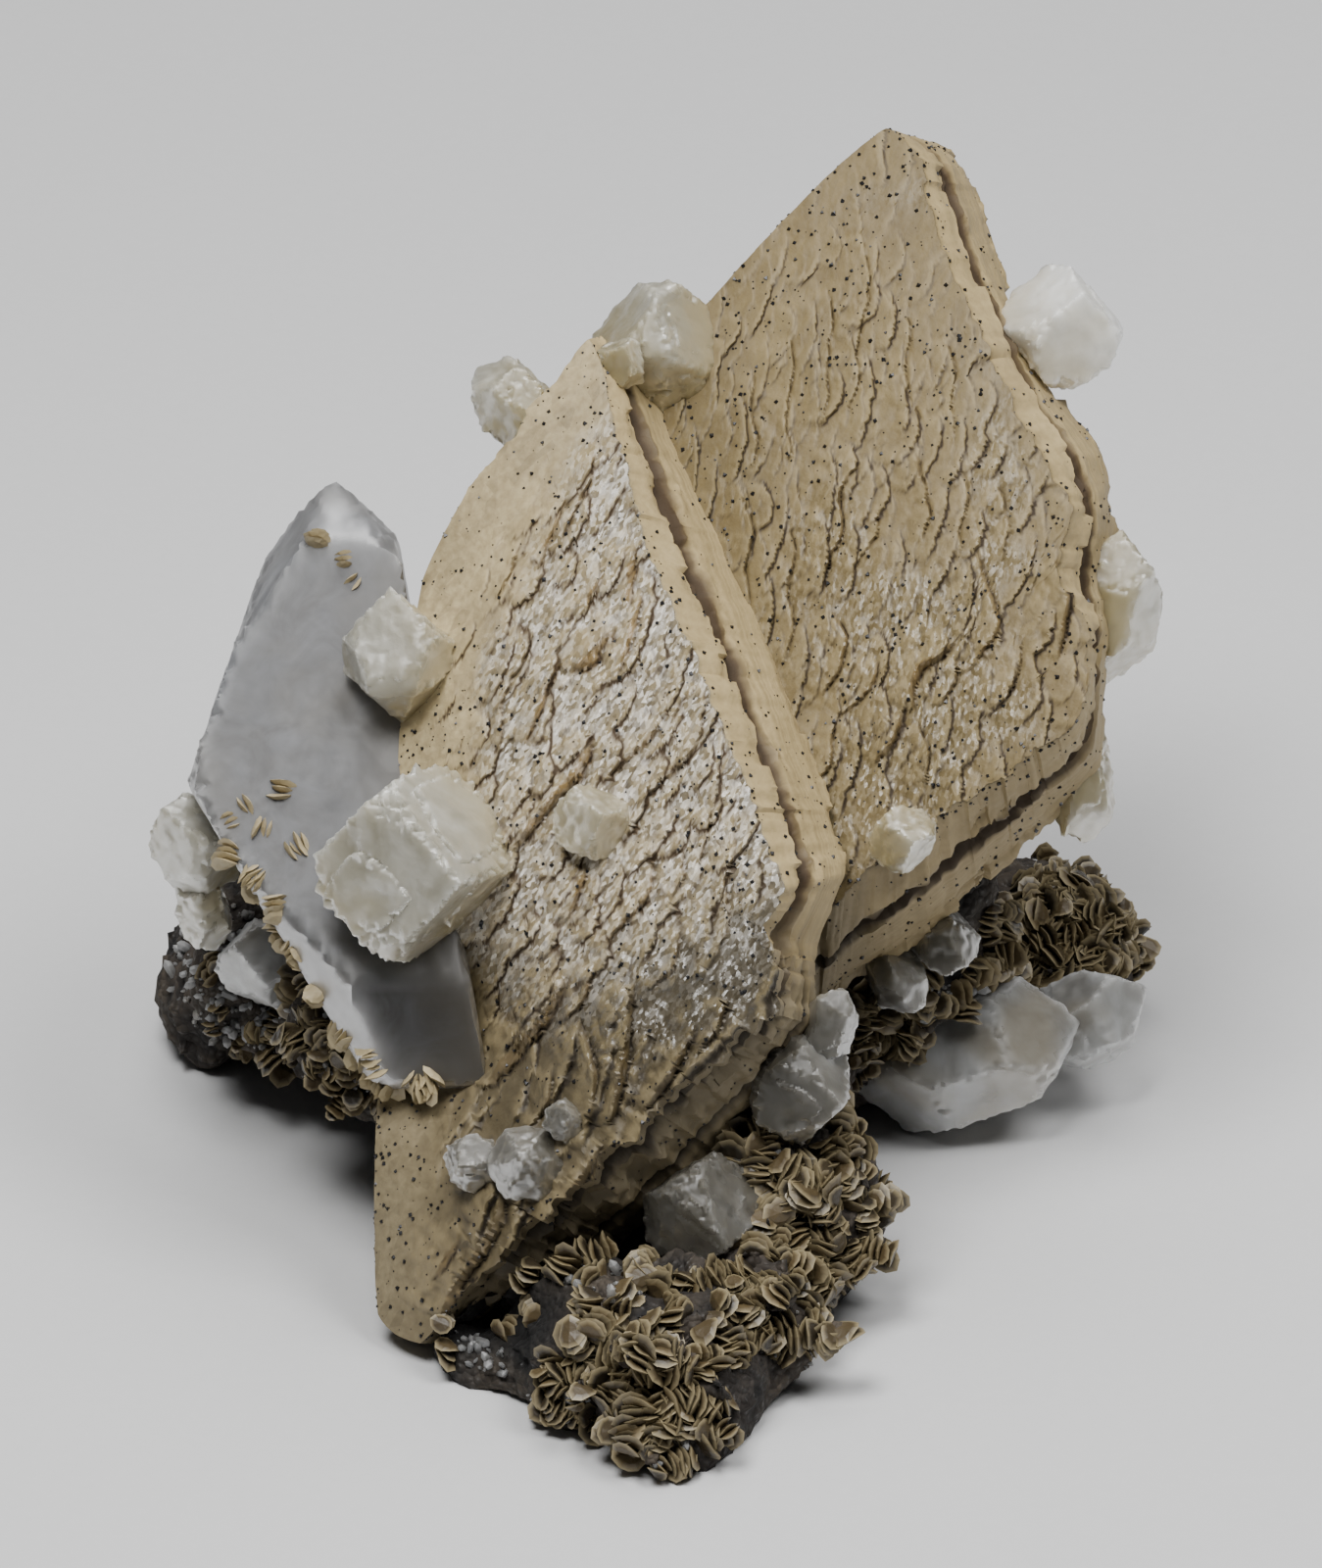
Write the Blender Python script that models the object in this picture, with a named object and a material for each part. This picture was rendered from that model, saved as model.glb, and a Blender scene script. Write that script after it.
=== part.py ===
"""Siderite with quartz, a loose mineral specimen about 10 cm tall.

Two thick siderite rhombs, built of stacked lamellae, lean back on a plate of dark rock. Milky quartz
crystals stand beside them, on them and under them, and small lens-shaped siderites cover the rock in
rosettes. Lengths are in millimetres until place() turns them into the metres of the row frame.
"""

import math
import random

import bmesh
import bpy
from mathutils import Matrix, Vector

# Driving dimensions
MM = 0.001
FRONT_TILT = math.radians(30.0)  # the front view looks down on the specimen by this angle
FOOT = 33.3  # from the middle of the front view down to the flat underside, measured upright
GAP = 0.35  # between crystals that meet
STACK_GAP = 0.7  # a swollen stack of lamellae grows by less than this across its ledges
LOWEST = 0.6  # only the rock reaches the flat underside: the crystals end this far above it
RHOMB_SLOPE = math.radians(38.2)  # a quartz rhombohedron face leans this far in from its prism face

# The outline of each big siderite as the front view shows it: (right, up) of the front face, clockwise from
# its tip, and the same corners on the back of the stack.
FRONT_FACE = [
    (-3.6, 31.6), (-2.6, 27.0), (-1.3, 21.7), (2.4, 12.0), (5.2, 4.7), (8.3, -2.4), (9.7, -6.6),
    (8.4, -9.9), (9.0, -15.1), (5.0, -18.8), (-1.2, -24.5), (-7.8, -30.7), (-13.7, -36.1),
    (-17.3, -40.4), (-20.5, -38.3), (-20.7, -25.2), (-19.5, -10.6), (-18.9, 5.1), (-17.2, 16.4),
    (-13.7, 23.2), (-7.8, 30.7), (-4.9, 34.3),
]
FRONT_BACK = [
    (-0.5, 34.3), (2.8, 26.6), (6.2, 19.7), (10.3, 11.0), (12.2, 4.2), (14.2, -2.6), (14.6, -5.5),
    (12.5, -11.0), (12.5, -16.4), (9.4, -21.5), (3.9, -28.1), (-2.0, -33.6), (-7.8, -38.0),
    (-12.9, -40.9), (-16.0, -39.0), (-16.6, -25.5), (-15.4, -10.6), (-14.6, 5.1), (-12.8, 16.8),
    (-9.6, 24.0), (-4.6, 31.0), (-2.0, 35.0),
]
REAR_FACE = [
    (17.4, 50.2), (19.6, 48.7), (20.5, 44.9), (23.2, 37.6), (26.5, 30.3), (29.3, 24.5), (31.0, 21.4),
    (30.0, 17.5), (32.0, 13.0), (32.4, 9.4), (31.6, 6.2), (27.5, 2.8), (21.7, -1.3), (15.3, -6.0),
    (9.4, -10.8), (4.4, -8.6), (1.7, 1.1), (0.4, 15.7), (1.1, 32.9), (5.0, 38.2), (9.7, 43.3),
    (14.2, 47.8),
]
REAR_BACK = [
    (21.8, 49.2), (23.6, 48.0), (24.9, 44.9), (27.0, 38.3), (30.5, 30.7), (33.9, 25.9), (34.7, 21.5),
    (34.7, 17.2), (34.5, 12.0), (33.9, 8.4), (33.5, 1.8), (28.7, -3.1), (22.5, -9.1), (14.3, -14.9),
    (9.7, -18.5), (6.0, -14.0), (4.4, 0.0), (3.6, 15.0), (4.6, 31.0), (8.4, 37.0), (13.0, 42.6),
    (18.4, 47.2),
]


def place(right, up, near):
    """A point of the front view, in mm, as a point of the row frame in metres."""
    depth = up * math.sin(FRONT_TILT) - near * math.cos(FRONT_TILT)
    height = up * math.cos(FRONT_TILT) + near * math.sin(FRONT_TILT) + FOOT
    return Vector((right, depth, height)) * MM


def turn(right, up, near):
    """A direction of the front view as a direction of the row frame."""
    return (place(right, up, near) - place(0, 0, 0)).normalized()


def centre_origin(item):
    """Puts an object's origin at the middle of its box, so that its location says where it stands."""
    low, high = world_box(item)
    middle = (low + high) / 2
    item.data.transform(Matrix.Translation(-middle))
    item.location = middle


def clear_scene():
    for leftover in list(bpy.data.objects):
        bpy.data.objects.remove(leftover)


def material(name, colour, roughness):
    made = bpy.data.materials.new(name)
    made.use_nodes = True
    shader = made.node_tree.nodes["Principled BSDF"]
    shader.inputs["Base Color"].default_value = (*colour, 1.0)
    shader.inputs["Roughness"].default_value = roughness
    shader.inputs["Metallic"].default_value = 0.0
    return made


def object_from(name, built, finish=None):
    """Turns a bmesh into an object of the scene."""
    bmesh.ops.triangulate(built, faces=built.faces[:])
    bmesh.ops.recalc_face_normals(built, faces=built.faces[:])
    mesh = bpy.data.meshes.new(name)
    built.to_mesh(mesh)
    built.free()
    made = bpy.data.objects.new(name, mesh)
    bpy.context.scene.collection.objects.link(made)
    if finish:
        mesh.materials.append(finish)
    return made


def apply_modifiers(target):
    bpy.context.view_layer.update()
    graph = bpy.context.evaluated_depsgraph_get()
    applied = bpy.data.meshes.new_from_object(target.evaluated_get(graph))
    target.modifiers.clear()
    target.data = applied


def keep_largest_shell(target):
    """A cut can leave a loose chip behind: only the biggest closed shell stays."""
    built = bmesh.new()
    built.from_mesh(target.data)
    unseen = set(built.verts)
    shells = []
    while unseen:
        waiting = [unseen.pop()]
        shell = list(waiting)
        while waiting:
            for edge in waiting.pop().link_edges:
                for vert in edge.verts:
                    if vert in unseen:
                        unseen.remove(vert)
                        waiting.append(vert)
                        shell.append(vert)
        shells.append(shell)
    shells.sort(key=len)
    for shell in shells[:-1]:
        bmesh.ops.delete(built, geom=shell, context="VERTS")
    built.to_mesh(target.data)
    built.free()


def join_level_faces(target, angle):
    """Joins neighbouring faces that lie within a few degrees of each other, and splits them afresh."""
    flatter = target.modifiers.new("Level", "DECIMATE")
    flatter.decimate_type = "DISSOLVE"
    flatter.angle_limit = math.radians(angle)
    apply_modifiers(target)
    built = bmesh.new()
    built.from_mesh(target.data)
    bmesh.ops.triangulate(built, faces=built.faces[:])
    built.to_mesh(target.data)
    built.free()


def combine(target, other, operation, solver="EXACT"):
    """Cuts other from target, or joins it on, and removes other."""
    change = target.modifiers.new("Change", "BOOLEAN")
    change.operation = operation
    change.solver = solver
    change.object = other
    apply_modifiers(target)
    bpy.data.objects.remove(other)
    keep_largest_shell(target)


def cut_level(target, height):
    """Cuts everything below a height, in mm, and closes the cut with a flat face."""
    built = bmesh.new()
    built.from_mesh(target.data)
    whole = built.verts[:] + built.edges[:] + built.faces[:]
    level = (0, 0, height * MM)
    bmesh.ops.bisect_plane(built, geom=whole, plane_co=level, plane_no=(0, 0, -1), clear_outer=True)
    bmesh.ops.holes_fill(built, edges=[edge for edge in built.edges if edge.is_boundary])
    bmesh.ops.triangulate(built, faces=built.faces[:])
    built.to_mesh(target.data)
    built.free()


def ring_surface(rings, first_cap, last_cap):
    """A closed bmesh from rings of points, with a single point closing each end."""
    built = bmesh.new()
    loops = [[built.verts.new(point) for point in ring] for ring in rings]
    count = len(loops[0])
    start, end = built.verts.new(first_cap), built.verts.new(last_cap)
    for i in range(count):
        following = (i + 1) % count
        built.faces.new((start, loops[0][i], loops[0][following]))
        built.faces.new((end, loops[-1][following], loops[-1][i]))
        for inner, outer in zip(loops, loops[1:]):
            built.faces.new((inner[i], outer[i], outer[following], inner[following]))
    return built


class Sheet:
    """The gently crowned front face of a siderite: how near the front view it is at (right, up)."""

    def __init__(self, middle, near, slope_right, slope_up, crown, roll_from, roll, dip=None):
        self.middle = middle
        self.near = near
        self.slope_right = slope_right
        self.slope_up = slope_up
        self.crown = crown
        self.roll_from = roll_from
        self.roll = roll
        self.dip = dip

    def __call__(self, right, up):
        along, above = right - self.middle[0], up - self.middle[1]
        rolled = max(0.0, self.roll_from - right)
        near = self.near + self.slope_right * along + self.slope_up * above
        near -= self.crown * (along**2 + above**2) + self.roll * rolled**2
        if self.dip:
            far = math.hypot(right - self.dip[0], up - self.dip[1]) / self.dip[2]
            near -= self.dip[3] * math.exp(-(far**2))
        return near


# The front sheet dips around the foot of the large quartz.
FRONT_SHEET = Sheet((-4.5, -3.0), 12.0, 0.32, -0.24, 0.005, -8.0, 0.02, (-15.0, -17.5, 6.5, 7.0))
REAR_SHEET = Sheet((19.2, 18.6), 2.0, 0.27, -0.27, 0.004, 2.0, 0.02)
FRONT_DEPTH, REAR_DEPTH = 12.5, 14.0
# How deep in the stack each ledge of lamellae starts, as a share of its depth, and how far it stands back.
FRONT_LEDGES = [
    (0.0, 0.0), (0.36, 0.0), (0.39, 1.6), (0.54, 1.7), (0.58, 0.3), (0.8, 0.0), (0.82, 0.6), (1.0, 0.8),
]
REAR_LEDGES = [(0.0, 0.0), (0.46, 0.0), (0.49, 1.4), (0.6, 1.4), (0.63, 0.2), (0.94, 0.0), (1.0, 0.8)]
CAP_RINGS = (0.4, 0.75)  # rings of the front face, as shares of the way out to its edge
BACK_RING = 0.5  # the one ring of the back
# The plates on the siderites' faces: how many corners they have and how deep they reach into the stack. A
# plate rises at its free edge by its tilt, and grows only where the face, shrunk by a share, still is.
PLATE_CORNERS, PLATE_DEPTH = 6, 2.0
PLATE_SIZES, PLATE_LIFTS, PLATE_TILTS = (0.75, 1.2), (0.1, 0.35), (0.10, 0.17)
PLATE_REACH = 0.80


def lamella_stack(face, back, sheet, depth, ledges, swell=0.0):
    """The body of a siderite: its crowned face, its ledges, and its back."""
    middle = Vector(sheet.middle)

    def ring(level, inset, share=1.0):
        points = []
        for front_point, back_point in zip(face, back):
            corner = Vector(front_point).lerp(Vector(back_point), level)
            outward = corner - middle
            outward *= share + (swell - inset) / outward.length
            seen = middle + outward
            at_front = middle + outward - (Vector(back_point) - Vector(front_point)) * level
            raised = swell if level == 0 else 0.0
            sunk = swell if level == 1 else 0.0
            points.append(place(seen.x, seen.y, sheet(*at_front) - depth * level + raised - sunk))
        return points

    rings = [ring(0.0, 0.0, share) for share in CAP_RINGS]
    rings += [ring(level, inset) for level, inset in ledges]
    rings += [ring(1.0, ledges[-1][1], BACK_RING)]
    near = sheet(*middle)
    behind = middle + (Vector(back[0]) - Vector(face[0])) * BACK_RING
    return ring_surface(rings, place(*middle, near + swell), place(*behind, near - depth - swell))


def inside(point, outline, share):
    """Whether a point lies in the outline after that shrinks to a share about its middle."""
    middle = Vector((sum(p[0] for p in outline), sum(p[1] for p in outline))) / len(outline)
    x, y = middle + (Vector(point) - middle) / share
    crossings = 0
    for (x0, y0), (x1, y1) in zip(outline, outline[1:] + outline[:1]):
        if (y0 > y) != (y1 > y) and x < x0 + (y - y0) * (x1 - x0) / (y1 - y0):
            crossings += 1
    return crossings % 2 == 1


def face_plates(face, sheet, grain_angle, spacing, length, width, seed):
    """The overlapping plates of a face: each dips under the next and stands proud at its free edge."""
    chance = random.Random(seed)
    grain = Vector((math.cos(grain_angle), math.sin(grain_angle)))
    across = Vector((-grain.y, grain.x))
    plates = []
    rows = range(-8, 9)
    for row in rows:
        for column in rows:
            offset = Vector((column * spacing[0] + (row % 2) * spacing[0] / 2, row * spacing[1]))
            offset += Vector((chance.uniform(-1, 1), chance.uniform(-1, 1)))
            middle = Vector(sheet.middle) + grain * offset.x + across * offset.y
            size = chance.uniform(*PLATE_SIZES)
            lift = chance.uniform(*PLATE_LIFTS)
            tilt = chance.uniform(*PLATE_TILTS)
            if not inside(middle, face, PLATE_REACH):
                continue
            low, high = [], []
            for i in range(PLATE_CORNERS):
                angle = 2 * math.pi * (i + chance.uniform(-0.2, 0.2)) / PLATE_CORNERS
                step = Vector((math.cos(angle) * length / 2, math.sin(angle) * width / 2)) * size
                seen = middle + grain * step.x + across * step.y
                near = sheet(*seen) + lift - tilt * step.y
                high.append(place(*seen, near))
                low.append(place(*seen, near - PLATE_DEPTH))
            top, bottom = (sum(ring, Vector()) / PLATE_CORNERS for ring in (high, low))
            plates.append(ring_surface([high, low], top, bottom))
    return plates


def siderite(name, stack, plates, finish):
    made = object_from(name, lamella_stack(*stack), finish)
    cut_level(made, LOWEST)
    for plate in plates:
        combine(made, object_from(name + "_plate", plate), "UNION")
    return made


def convex(name, middle, planes, block, swell=0.0, finish=None):
    """What planes leave of a block: each is an outward direction and a distance from its middle, in mm."""
    built = bmesh.new()
    bmesh.ops.create_cube(built, size=block * MM)
    for outward, distance in planes:
        whole = built.verts[:] + built.edges[:] + built.faces[:]
        bmesh.ops.bisect_plane(
            built,
            geom=whole,
            dist=1e-7,
            plane_co=outward * (distance + swell) * MM,
            plane_no=outward,
            clear_outer=True,
        )
        rim = [edge for edge in built.edges if edge.is_boundary]
        if rim:
            bmesh.ops.contextual_create(built, geom=rim)
    bmesh.ops.translate(built, verts=built.verts[:], vec=middle)
    return object_from(name, built, finish)


def quartz_planes(axis, radius, height, foot, seed, flat=1.0, rhomb=0.1):
    """Prism and rhombohedron faces of a quartz crystal, unequal as real ones are.

    height and foot are the distances of its two points from the middle. flat squeezes one prism direction,
    and rhomb is how much larger three of its end faces are than the other three.
    """
    chance = random.Random(seed)
    side = axis.orthogonal().normalized()
    side.rotate(Matrix.Rotation(chance.uniform(0, math.pi / 3), 3, axis))
    planes = []
    for i in range(6):
        outward = side.copy()
        outward.rotate(Matrix.Rotation(i * math.pi / 3, 3, axis))
        squeeze = 1 - (1 - flat) * abs(outward.dot(side))
        planes.append((outward, radius * squeeze * chance.uniform(0.88, 1.08)))
        for end, reach in ((1, height), (-1, foot)):
            leaning = outward * math.cos(RHOMB_SLOPE) + axis * end * math.sin(RHOMB_SLOPE)
            larger = 1 - rhomb if (i + (end < 0)) % 2 else 1 + rhomb
            planes.append((leaning, reach * math.sin(RHOMB_SLOPE) * larger * chance.uniform(0.95, 1.05)))
    return planes


# Quartz pieces, each of one or more crystals grown into each other. A crystal is its middle in the front
# view (right, up, near), the way its point looks, its radius, how far the point and the foot reach from the
# middle, a seed, how flat it is, and how much three of its end faces outgrow the others.
QUARTZ = {
    "quartz_left_white": [((-17.6, -4.6, 10.0), (0.45, -0.2, 0.87), 7.7, 9.4, 9.0, 3, 1.0, 0.16)],
    "quartz_left_edge": [((-18.8, 10.5, 2.2), (-0.1, 0.9, 0.4), 4.0, 6.4, 6.4, 5, 1.0, 0.1)],
    "quartz_front_face": [((-4.6, -1.8, 12.4), (0.25, 0.2, 0.95), 3.2, 4.2, 3.4, 7, 1.0, 0.12)],
    "quartz_rear_face": [((18.4, -2.9, 6.8), (0.3, -0.1, 0.95), 2.8, 3.5, 3.0, 11, 1.0, 0.12)],
    "quartz_top": [
        ((0.2, 33.4, -9.0), (0.95, 0.25, -0.2), 4.8, 7.2, 7.2, 17, 1.0, 0.14),
        ((-2.4, 32.6, -3.6), (0.1, 0.5, 0.86), 1.8, 2.6, 3.4, 13, 1.0, 0.1),
    ],
    "quartz_left_shoulder": [((-10.2, 29.2, -7.0), (-0.62, 0.6, -0.3), 3.4, 5.4, 6.5, 19, 0.7, 0.12)],
    "quartz_right_top": [((30.6, 35.2, -9.0), (0.3, 0.5, 0.8), 4.7, 6.2, 6.5, 23, 1.0, 0.16)],
    "quartz_right_middle": [((34.0, 14.2, -5.0), (0.15, 0.95, 0.2), 3.7, 7.0, 7.0, 29, 0.9, 0.1)],
    "quartz_right_low": [((31.4, 2.8, -5.0), (-0.15, 0.95, 0.2), 3.0, 7.0, 7.0, 31, 0.8, 0.1)],
    "quartz_low_face": [
        ((-9.4, -26.9, 14.0), (-0.1, 0.1, 1.0), 3.5, 3.8, 3.8, 37, 1.0, 0.05),
        ((-13.5, -27.0, 12.0), (-0.4, -0.1, 0.9), 2.0, 2.8, 2.8, 41, 1.0, 0.1),
        ((-6.5, -23.8, 14.6), (0.2, 0.2, 0.95), 1.5, 2.2, 2.2, 43, 1.0, 0.1),
    ],
    "quartz_corner": [
        ((11.0, -21.4, 8.6), (0.6, -0.3, 0.7), 4.0, 5.4, 5.6, 47, 1.0, 0.1),
        ((12.9, -17.4, 9.2), (0.3, 0.9, 0.4), 1.9, 4.6, 3.4, 53, 0.9, 0.1),
    ],
    "quartz_under_front": [((3.6, -30.4, 8.4), (0.35, -0.5, 0.75), 4.6, 6.0, 5.6, 59, 0.9, 0.1)],
    "quartz_right_base": [
        ((23.6, -19.3, -20.5), (0.93, 0.3, 0.1), 5.4, 10.5, 10.5, 61, 0.9, 0.12),
        ((32.4, -16.6, -23.0), (0.8, 0.4, 0.2), 3.6, 6.4, 6.0, 62, 0.9, 0.12),
    ],
    "quartz_under_rear": [
        ((21.4, -10.2, -7.4), (0.5, -0.55, 0.6), 2.9, 4.6, 4.6, 67, 0.7, 0.1),
        ((17.8, -12.6, -7.2), (0.4, -0.8, 0.4), 2.4, 4.8, 4.2, 71, 0.8, 0.1),
    ],
    "quartz_left_foot": [
        ((-34.2, -3.2, -7.0), (-0.5, 0.45, 0.5), 3.6, 5.2, 6.0, 73, 0.9, 0.12),
        ((-33.8, -8.0, -9.0), (-0.2, 0.9, 0.4), 2.0, 4.2, 4.4, 97, 0.9, 0.1),
    ],
    "quartz_left_rock": [((-29.0, -12.4, -15.0), (-0.5, 0.25, 0.75), 3.8, 5.6, 5.0, 79, 0.8, 0.1)],
}

# The large quartz on the left is tabular. Its faces are (right, up, near) directions and distances from its
# middle.
LARGE_QUARTZ_MIDDLE = (-24.2, 1.1, -3.0)
LARGE_QUARTZ_FACES = [
    ((-0.95, 0.312, 0.0), 10.0), ((-0.853, -0.521, 0.0), 9.0), ((0.0, -1.0, 0.0), 22.6),
    ((0.986, 0.167, 0.0), 8.1), ((-0.715, 0.699, 0.0), 16.4), ((0.455, 0.89, 0.0), 20.8),
    ((0.0, 0.371, 0.928), 5.6), ((0.0, 0.768, 0.64), 13.75), ((-0.8, 0.25, 0.545), 9.2),
    ((-0.7, -0.42, 0.58), 10.6), ((0.0, -0.196, 0.98), 14.5), ((0.3, 0.4, 0.866), 8.4),
    ((0.0, -0.371, -0.928), 6.2), ((-0.6, 0.3, -0.74), 12.4), ((0.1, 0.8, -0.6), 23.0),
    ((-0.5, -0.7, -0.5), 12.0),
]
# The cubic block that a crystal is cut from: its side for the large quartz, and per radius for the others.
LARGE_BLOCK, BLOCK_PER_RADIUS = 180.0, 12.0

# Lumps of the rock in the row frame: middle (x, y, z) and radii.
ROCK_LUMPS = [
    # the left lobe and the bank under the large quartz
    ((-29.5, 25.0, 4.5), (8.5, 9.5, 6.5)),
    ((-33.0, 20.0, 5.0), (5.0, 6.0, 6.0)),
    ((-30.0, 14.0, 12.0), (5.0, 7.0, 6.5)),
    ((-24.0, 12.0, 10.0), (7.0, 9.0, 7.0)),
    ((-20.0, 0.0, 14.0), (6.5, 10.0, 6.5)),
    # the right lobe
    ((28.0, 28.0, 3.5), (8.5, 9.0, 6.5)),
    ((31.0, 26.0, 4.0), (6.0, 7.0, 6.0)),
    ((18.0, 20.0, 5.0), (9.0, 9.0, 8.0)),
    # the mass behind that carries both siderites
    ((0.0, 24.0, 7.0), (22.0, 14.0, 11.0)),
    ((-6.0, 6.0, 15.0), (13.0, 14.0, 17.0)),
    ((-4.0, 18.0, 16.0), (15.0, 11.0, 15.0)),
    ((14.0, 15.0, 16.0), (13.0, 14.0, 17.0)),
    ((12.0, 24.0, 14.0), (13.0, 10.0, 14.0)),
    ((2.0, 1.0, 6.0), (12.0, 12.0, 10.0)),
    # the lump under the right corner and the tongue in front
    ((7.0, -3.0, 8.0), (9.0, 12.0, 9.5)),
    ((9.5, -14.0, 7.5), (8.0, 9.5, 10.0)),
    ((6.5, -24.0, 4.5), (6.0, 8.0, 7.5)),
    ((-2.5, -29.0, 3.5), (8.5, 8.5, 6.5)),
    ((2.0, -34.0, 3.5), (5.0, 8.5, 6.5)),
    ((-11.0, -24.5, 1.5), (6.0, 6.0, 3.5)),
]
ROCK_VOXEL = 1.7  # the lumps melt together on a grid of this size
ROCK_NOISE = (("broad", 15.0, 5.5), ("rough", 5.0, 2.6))  # how wide the swellings are, and how high
ROCK_FACES_KEPT = 0.12
LEVEL_ROCK, LEVEL_CRYSTAL = 3.0, 0.5  # faces within this many degrees of each other become one

# Where small lens-shaped siderites grow in the front view: (right, up) of the middle of each patch, its
# half-width and half-height, how many there are, and their radius.
ROSETTES = [
    ((-1.2, -42.3), (6.5, 7.0), 26, 1.5), ((10.8, -32.5), (7.3, 9.0), 30, 1.5),
    ((30.5, -12.0), (6.2, 5.5), 20, 1.3), ((18.8, -17.0), (4.5, 4.3), 10, 1.3),
    ((-21.7, -20.0), (8.0, 3.5), 14, 1.1),
]
LENS_CORNERS = 6
LENS_SIZES = (0.75, 1.2)
LENS_THICKNESS, LENS_RISE = 0.36, 0.35  # half its thickness and how far it stands out, per radius
LENS_CLEAR = 1.3  # and its middle stays this many radii above the flat underside


def wanted_quartz(swell=0.0, finish=None, names=None):
    """The quartz crystals, or copies swollen to cut their sockets."""
    made = []
    if names is None or "quartz_left_large" in names:
        planes = [(turn(*outward), distance) for outward, distance in LARGE_QUARTZ_FACES]
        middle = place(*LARGE_QUARTZ_MIDDLE)
        made.append(convex("quartz_left_large", middle, planes, LARGE_BLOCK, swell, finish))
    for name, crystals in QUARTZ.items():
        if names is None or name in names:
            grown = []
            for spot, looks, radius, height, foot, seed, flat, rhomb in crystals:
                planes = quartz_planes(turn(*looks), radius, height, foot, seed, flat, rhomb)
                block = BLOCK_PER_RADIUS * radius
                grown.append(convex(name, place(*spot), planes, block, swell, finish))
            for other in grown[1:]:
                combine(grown[0], other, "UNION")
            made.append(grown[0])
    for item in made:
        if world_box(item)[0].z < LOWEST * MM:
            cut_level(item, LOWEST - swell)
    return made


def world_box(item):
    points = [item.matrix_world @ vertex.co for vertex in item.data.vertices]
    low = Vector([min(point[i] for point in points) for i in range(3)])
    high = Vector([max(point[i] for point in points) for i in range(3)])
    return low, high


def boxes_meet(first, second):
    (low_a, high_a), (low_b, high_b) = world_box(first), world_box(second)
    return all(low_a[i] < high_b[i] and low_b[i] < high_a[i] for i in range(3))


def cut_sockets(target, names, solver="EXACT"):
    """Cuts target by swollen copies of the named quartz crystals that reach it."""
    for cutter in wanted_quartz(GAP, names=names):
        if boxes_meet(target, cutter):
            combine(target, cutter, "DIFFERENCE", solver)
        else:
            bpy.data.objects.remove(cutter)


def rock(finish):
    """The plate of rock: lumps melted together, roughened, and cut flat underneath."""
    built = bmesh.new()
    for middle, radii in ROCK_LUMPS:
        shape = Matrix.Translation(Vector(middle) * MM) @ Matrix.Diagonal((*(Vector(radii) * MM), 1.0))
        bmesh.ops.create_icosphere(built, subdivisions=3, radius=1.0, matrix=shape)
    made = object_from("matrix", built, finish)
    melted = made.modifiers.new("Melt", "REMESH")
    melted.mode = "VOXEL"
    melted.voxel_size = ROCK_VOXEL * MM
    for name, size, height in ROCK_NOISE:
        noise = bpy.data.textures.new(name, "CLOUDS")
        noise.noise_scale = size * MM
        swelling = made.modifiers.new(name, "DISPLACE")
        swelling.texture = noise
        swelling.texture_coords = "GLOBAL"
        swelling.mid_level = 0.5
        swelling.strength = height * MM
    fewer = made.modifiers.new("Fewer", "DECIMATE")
    fewer.ratio = ROCK_FACES_KEPT
    apply_modifiers(made)
    cut_level(made, 0.0)
    return made


def lens(middle, facing, radius):
    """One small siderite: a lens with a few corners."""
    rim = []
    side = facing.orthogonal().normalized()
    for i in range(LENS_CORNERS):
        outward = side.copy()
        outward.rotate(Matrix.Rotation(2 * math.pi * i / LENS_CORNERS, 3, facing))
        rim.append(middle + outward * radius * MM)
    thick = LENS_THICKNESS * radius * MM
    return ring_surface([rim], middle + facing * thick, middle - facing * thick)


def grow_rosettes(base):
    """Sets lenses half into the rock wherever a patch of the front view meets it."""
    chance = random.Random(101)
    toward = turn(0, 0, 1)
    bpy.context.view_layer.update()
    for (right, up), (half_width, half_height), count, radius in ROSETTES:
        for _ in range(count):
            angle, share = chance.uniform(0, 2 * math.pi), math.sqrt(chance.random())
            spot = (right + math.cos(angle) * share * half_width, up + math.sin(angle) * share * half_height)
            start = place(*spot, 80)
            hit, point, normal, _ = base.ray_cast(start, -toward)
            facing = Vector([chance.uniform(-1, 1) for _ in range(3)]).normalized()
            size = radius * chance.uniform(*LENS_SIZES)
            if not hit or point.z < LENS_CLEAR * size * MM:
                continue
            facing = (facing - normal * facing.dot(normal) * 0.6).normalized()
            small = lens(point + normal * LENS_RISE * size * MM, facing, size)
            combine(base, object_from("lens", small), "UNION", "MANIFOLD")


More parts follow.
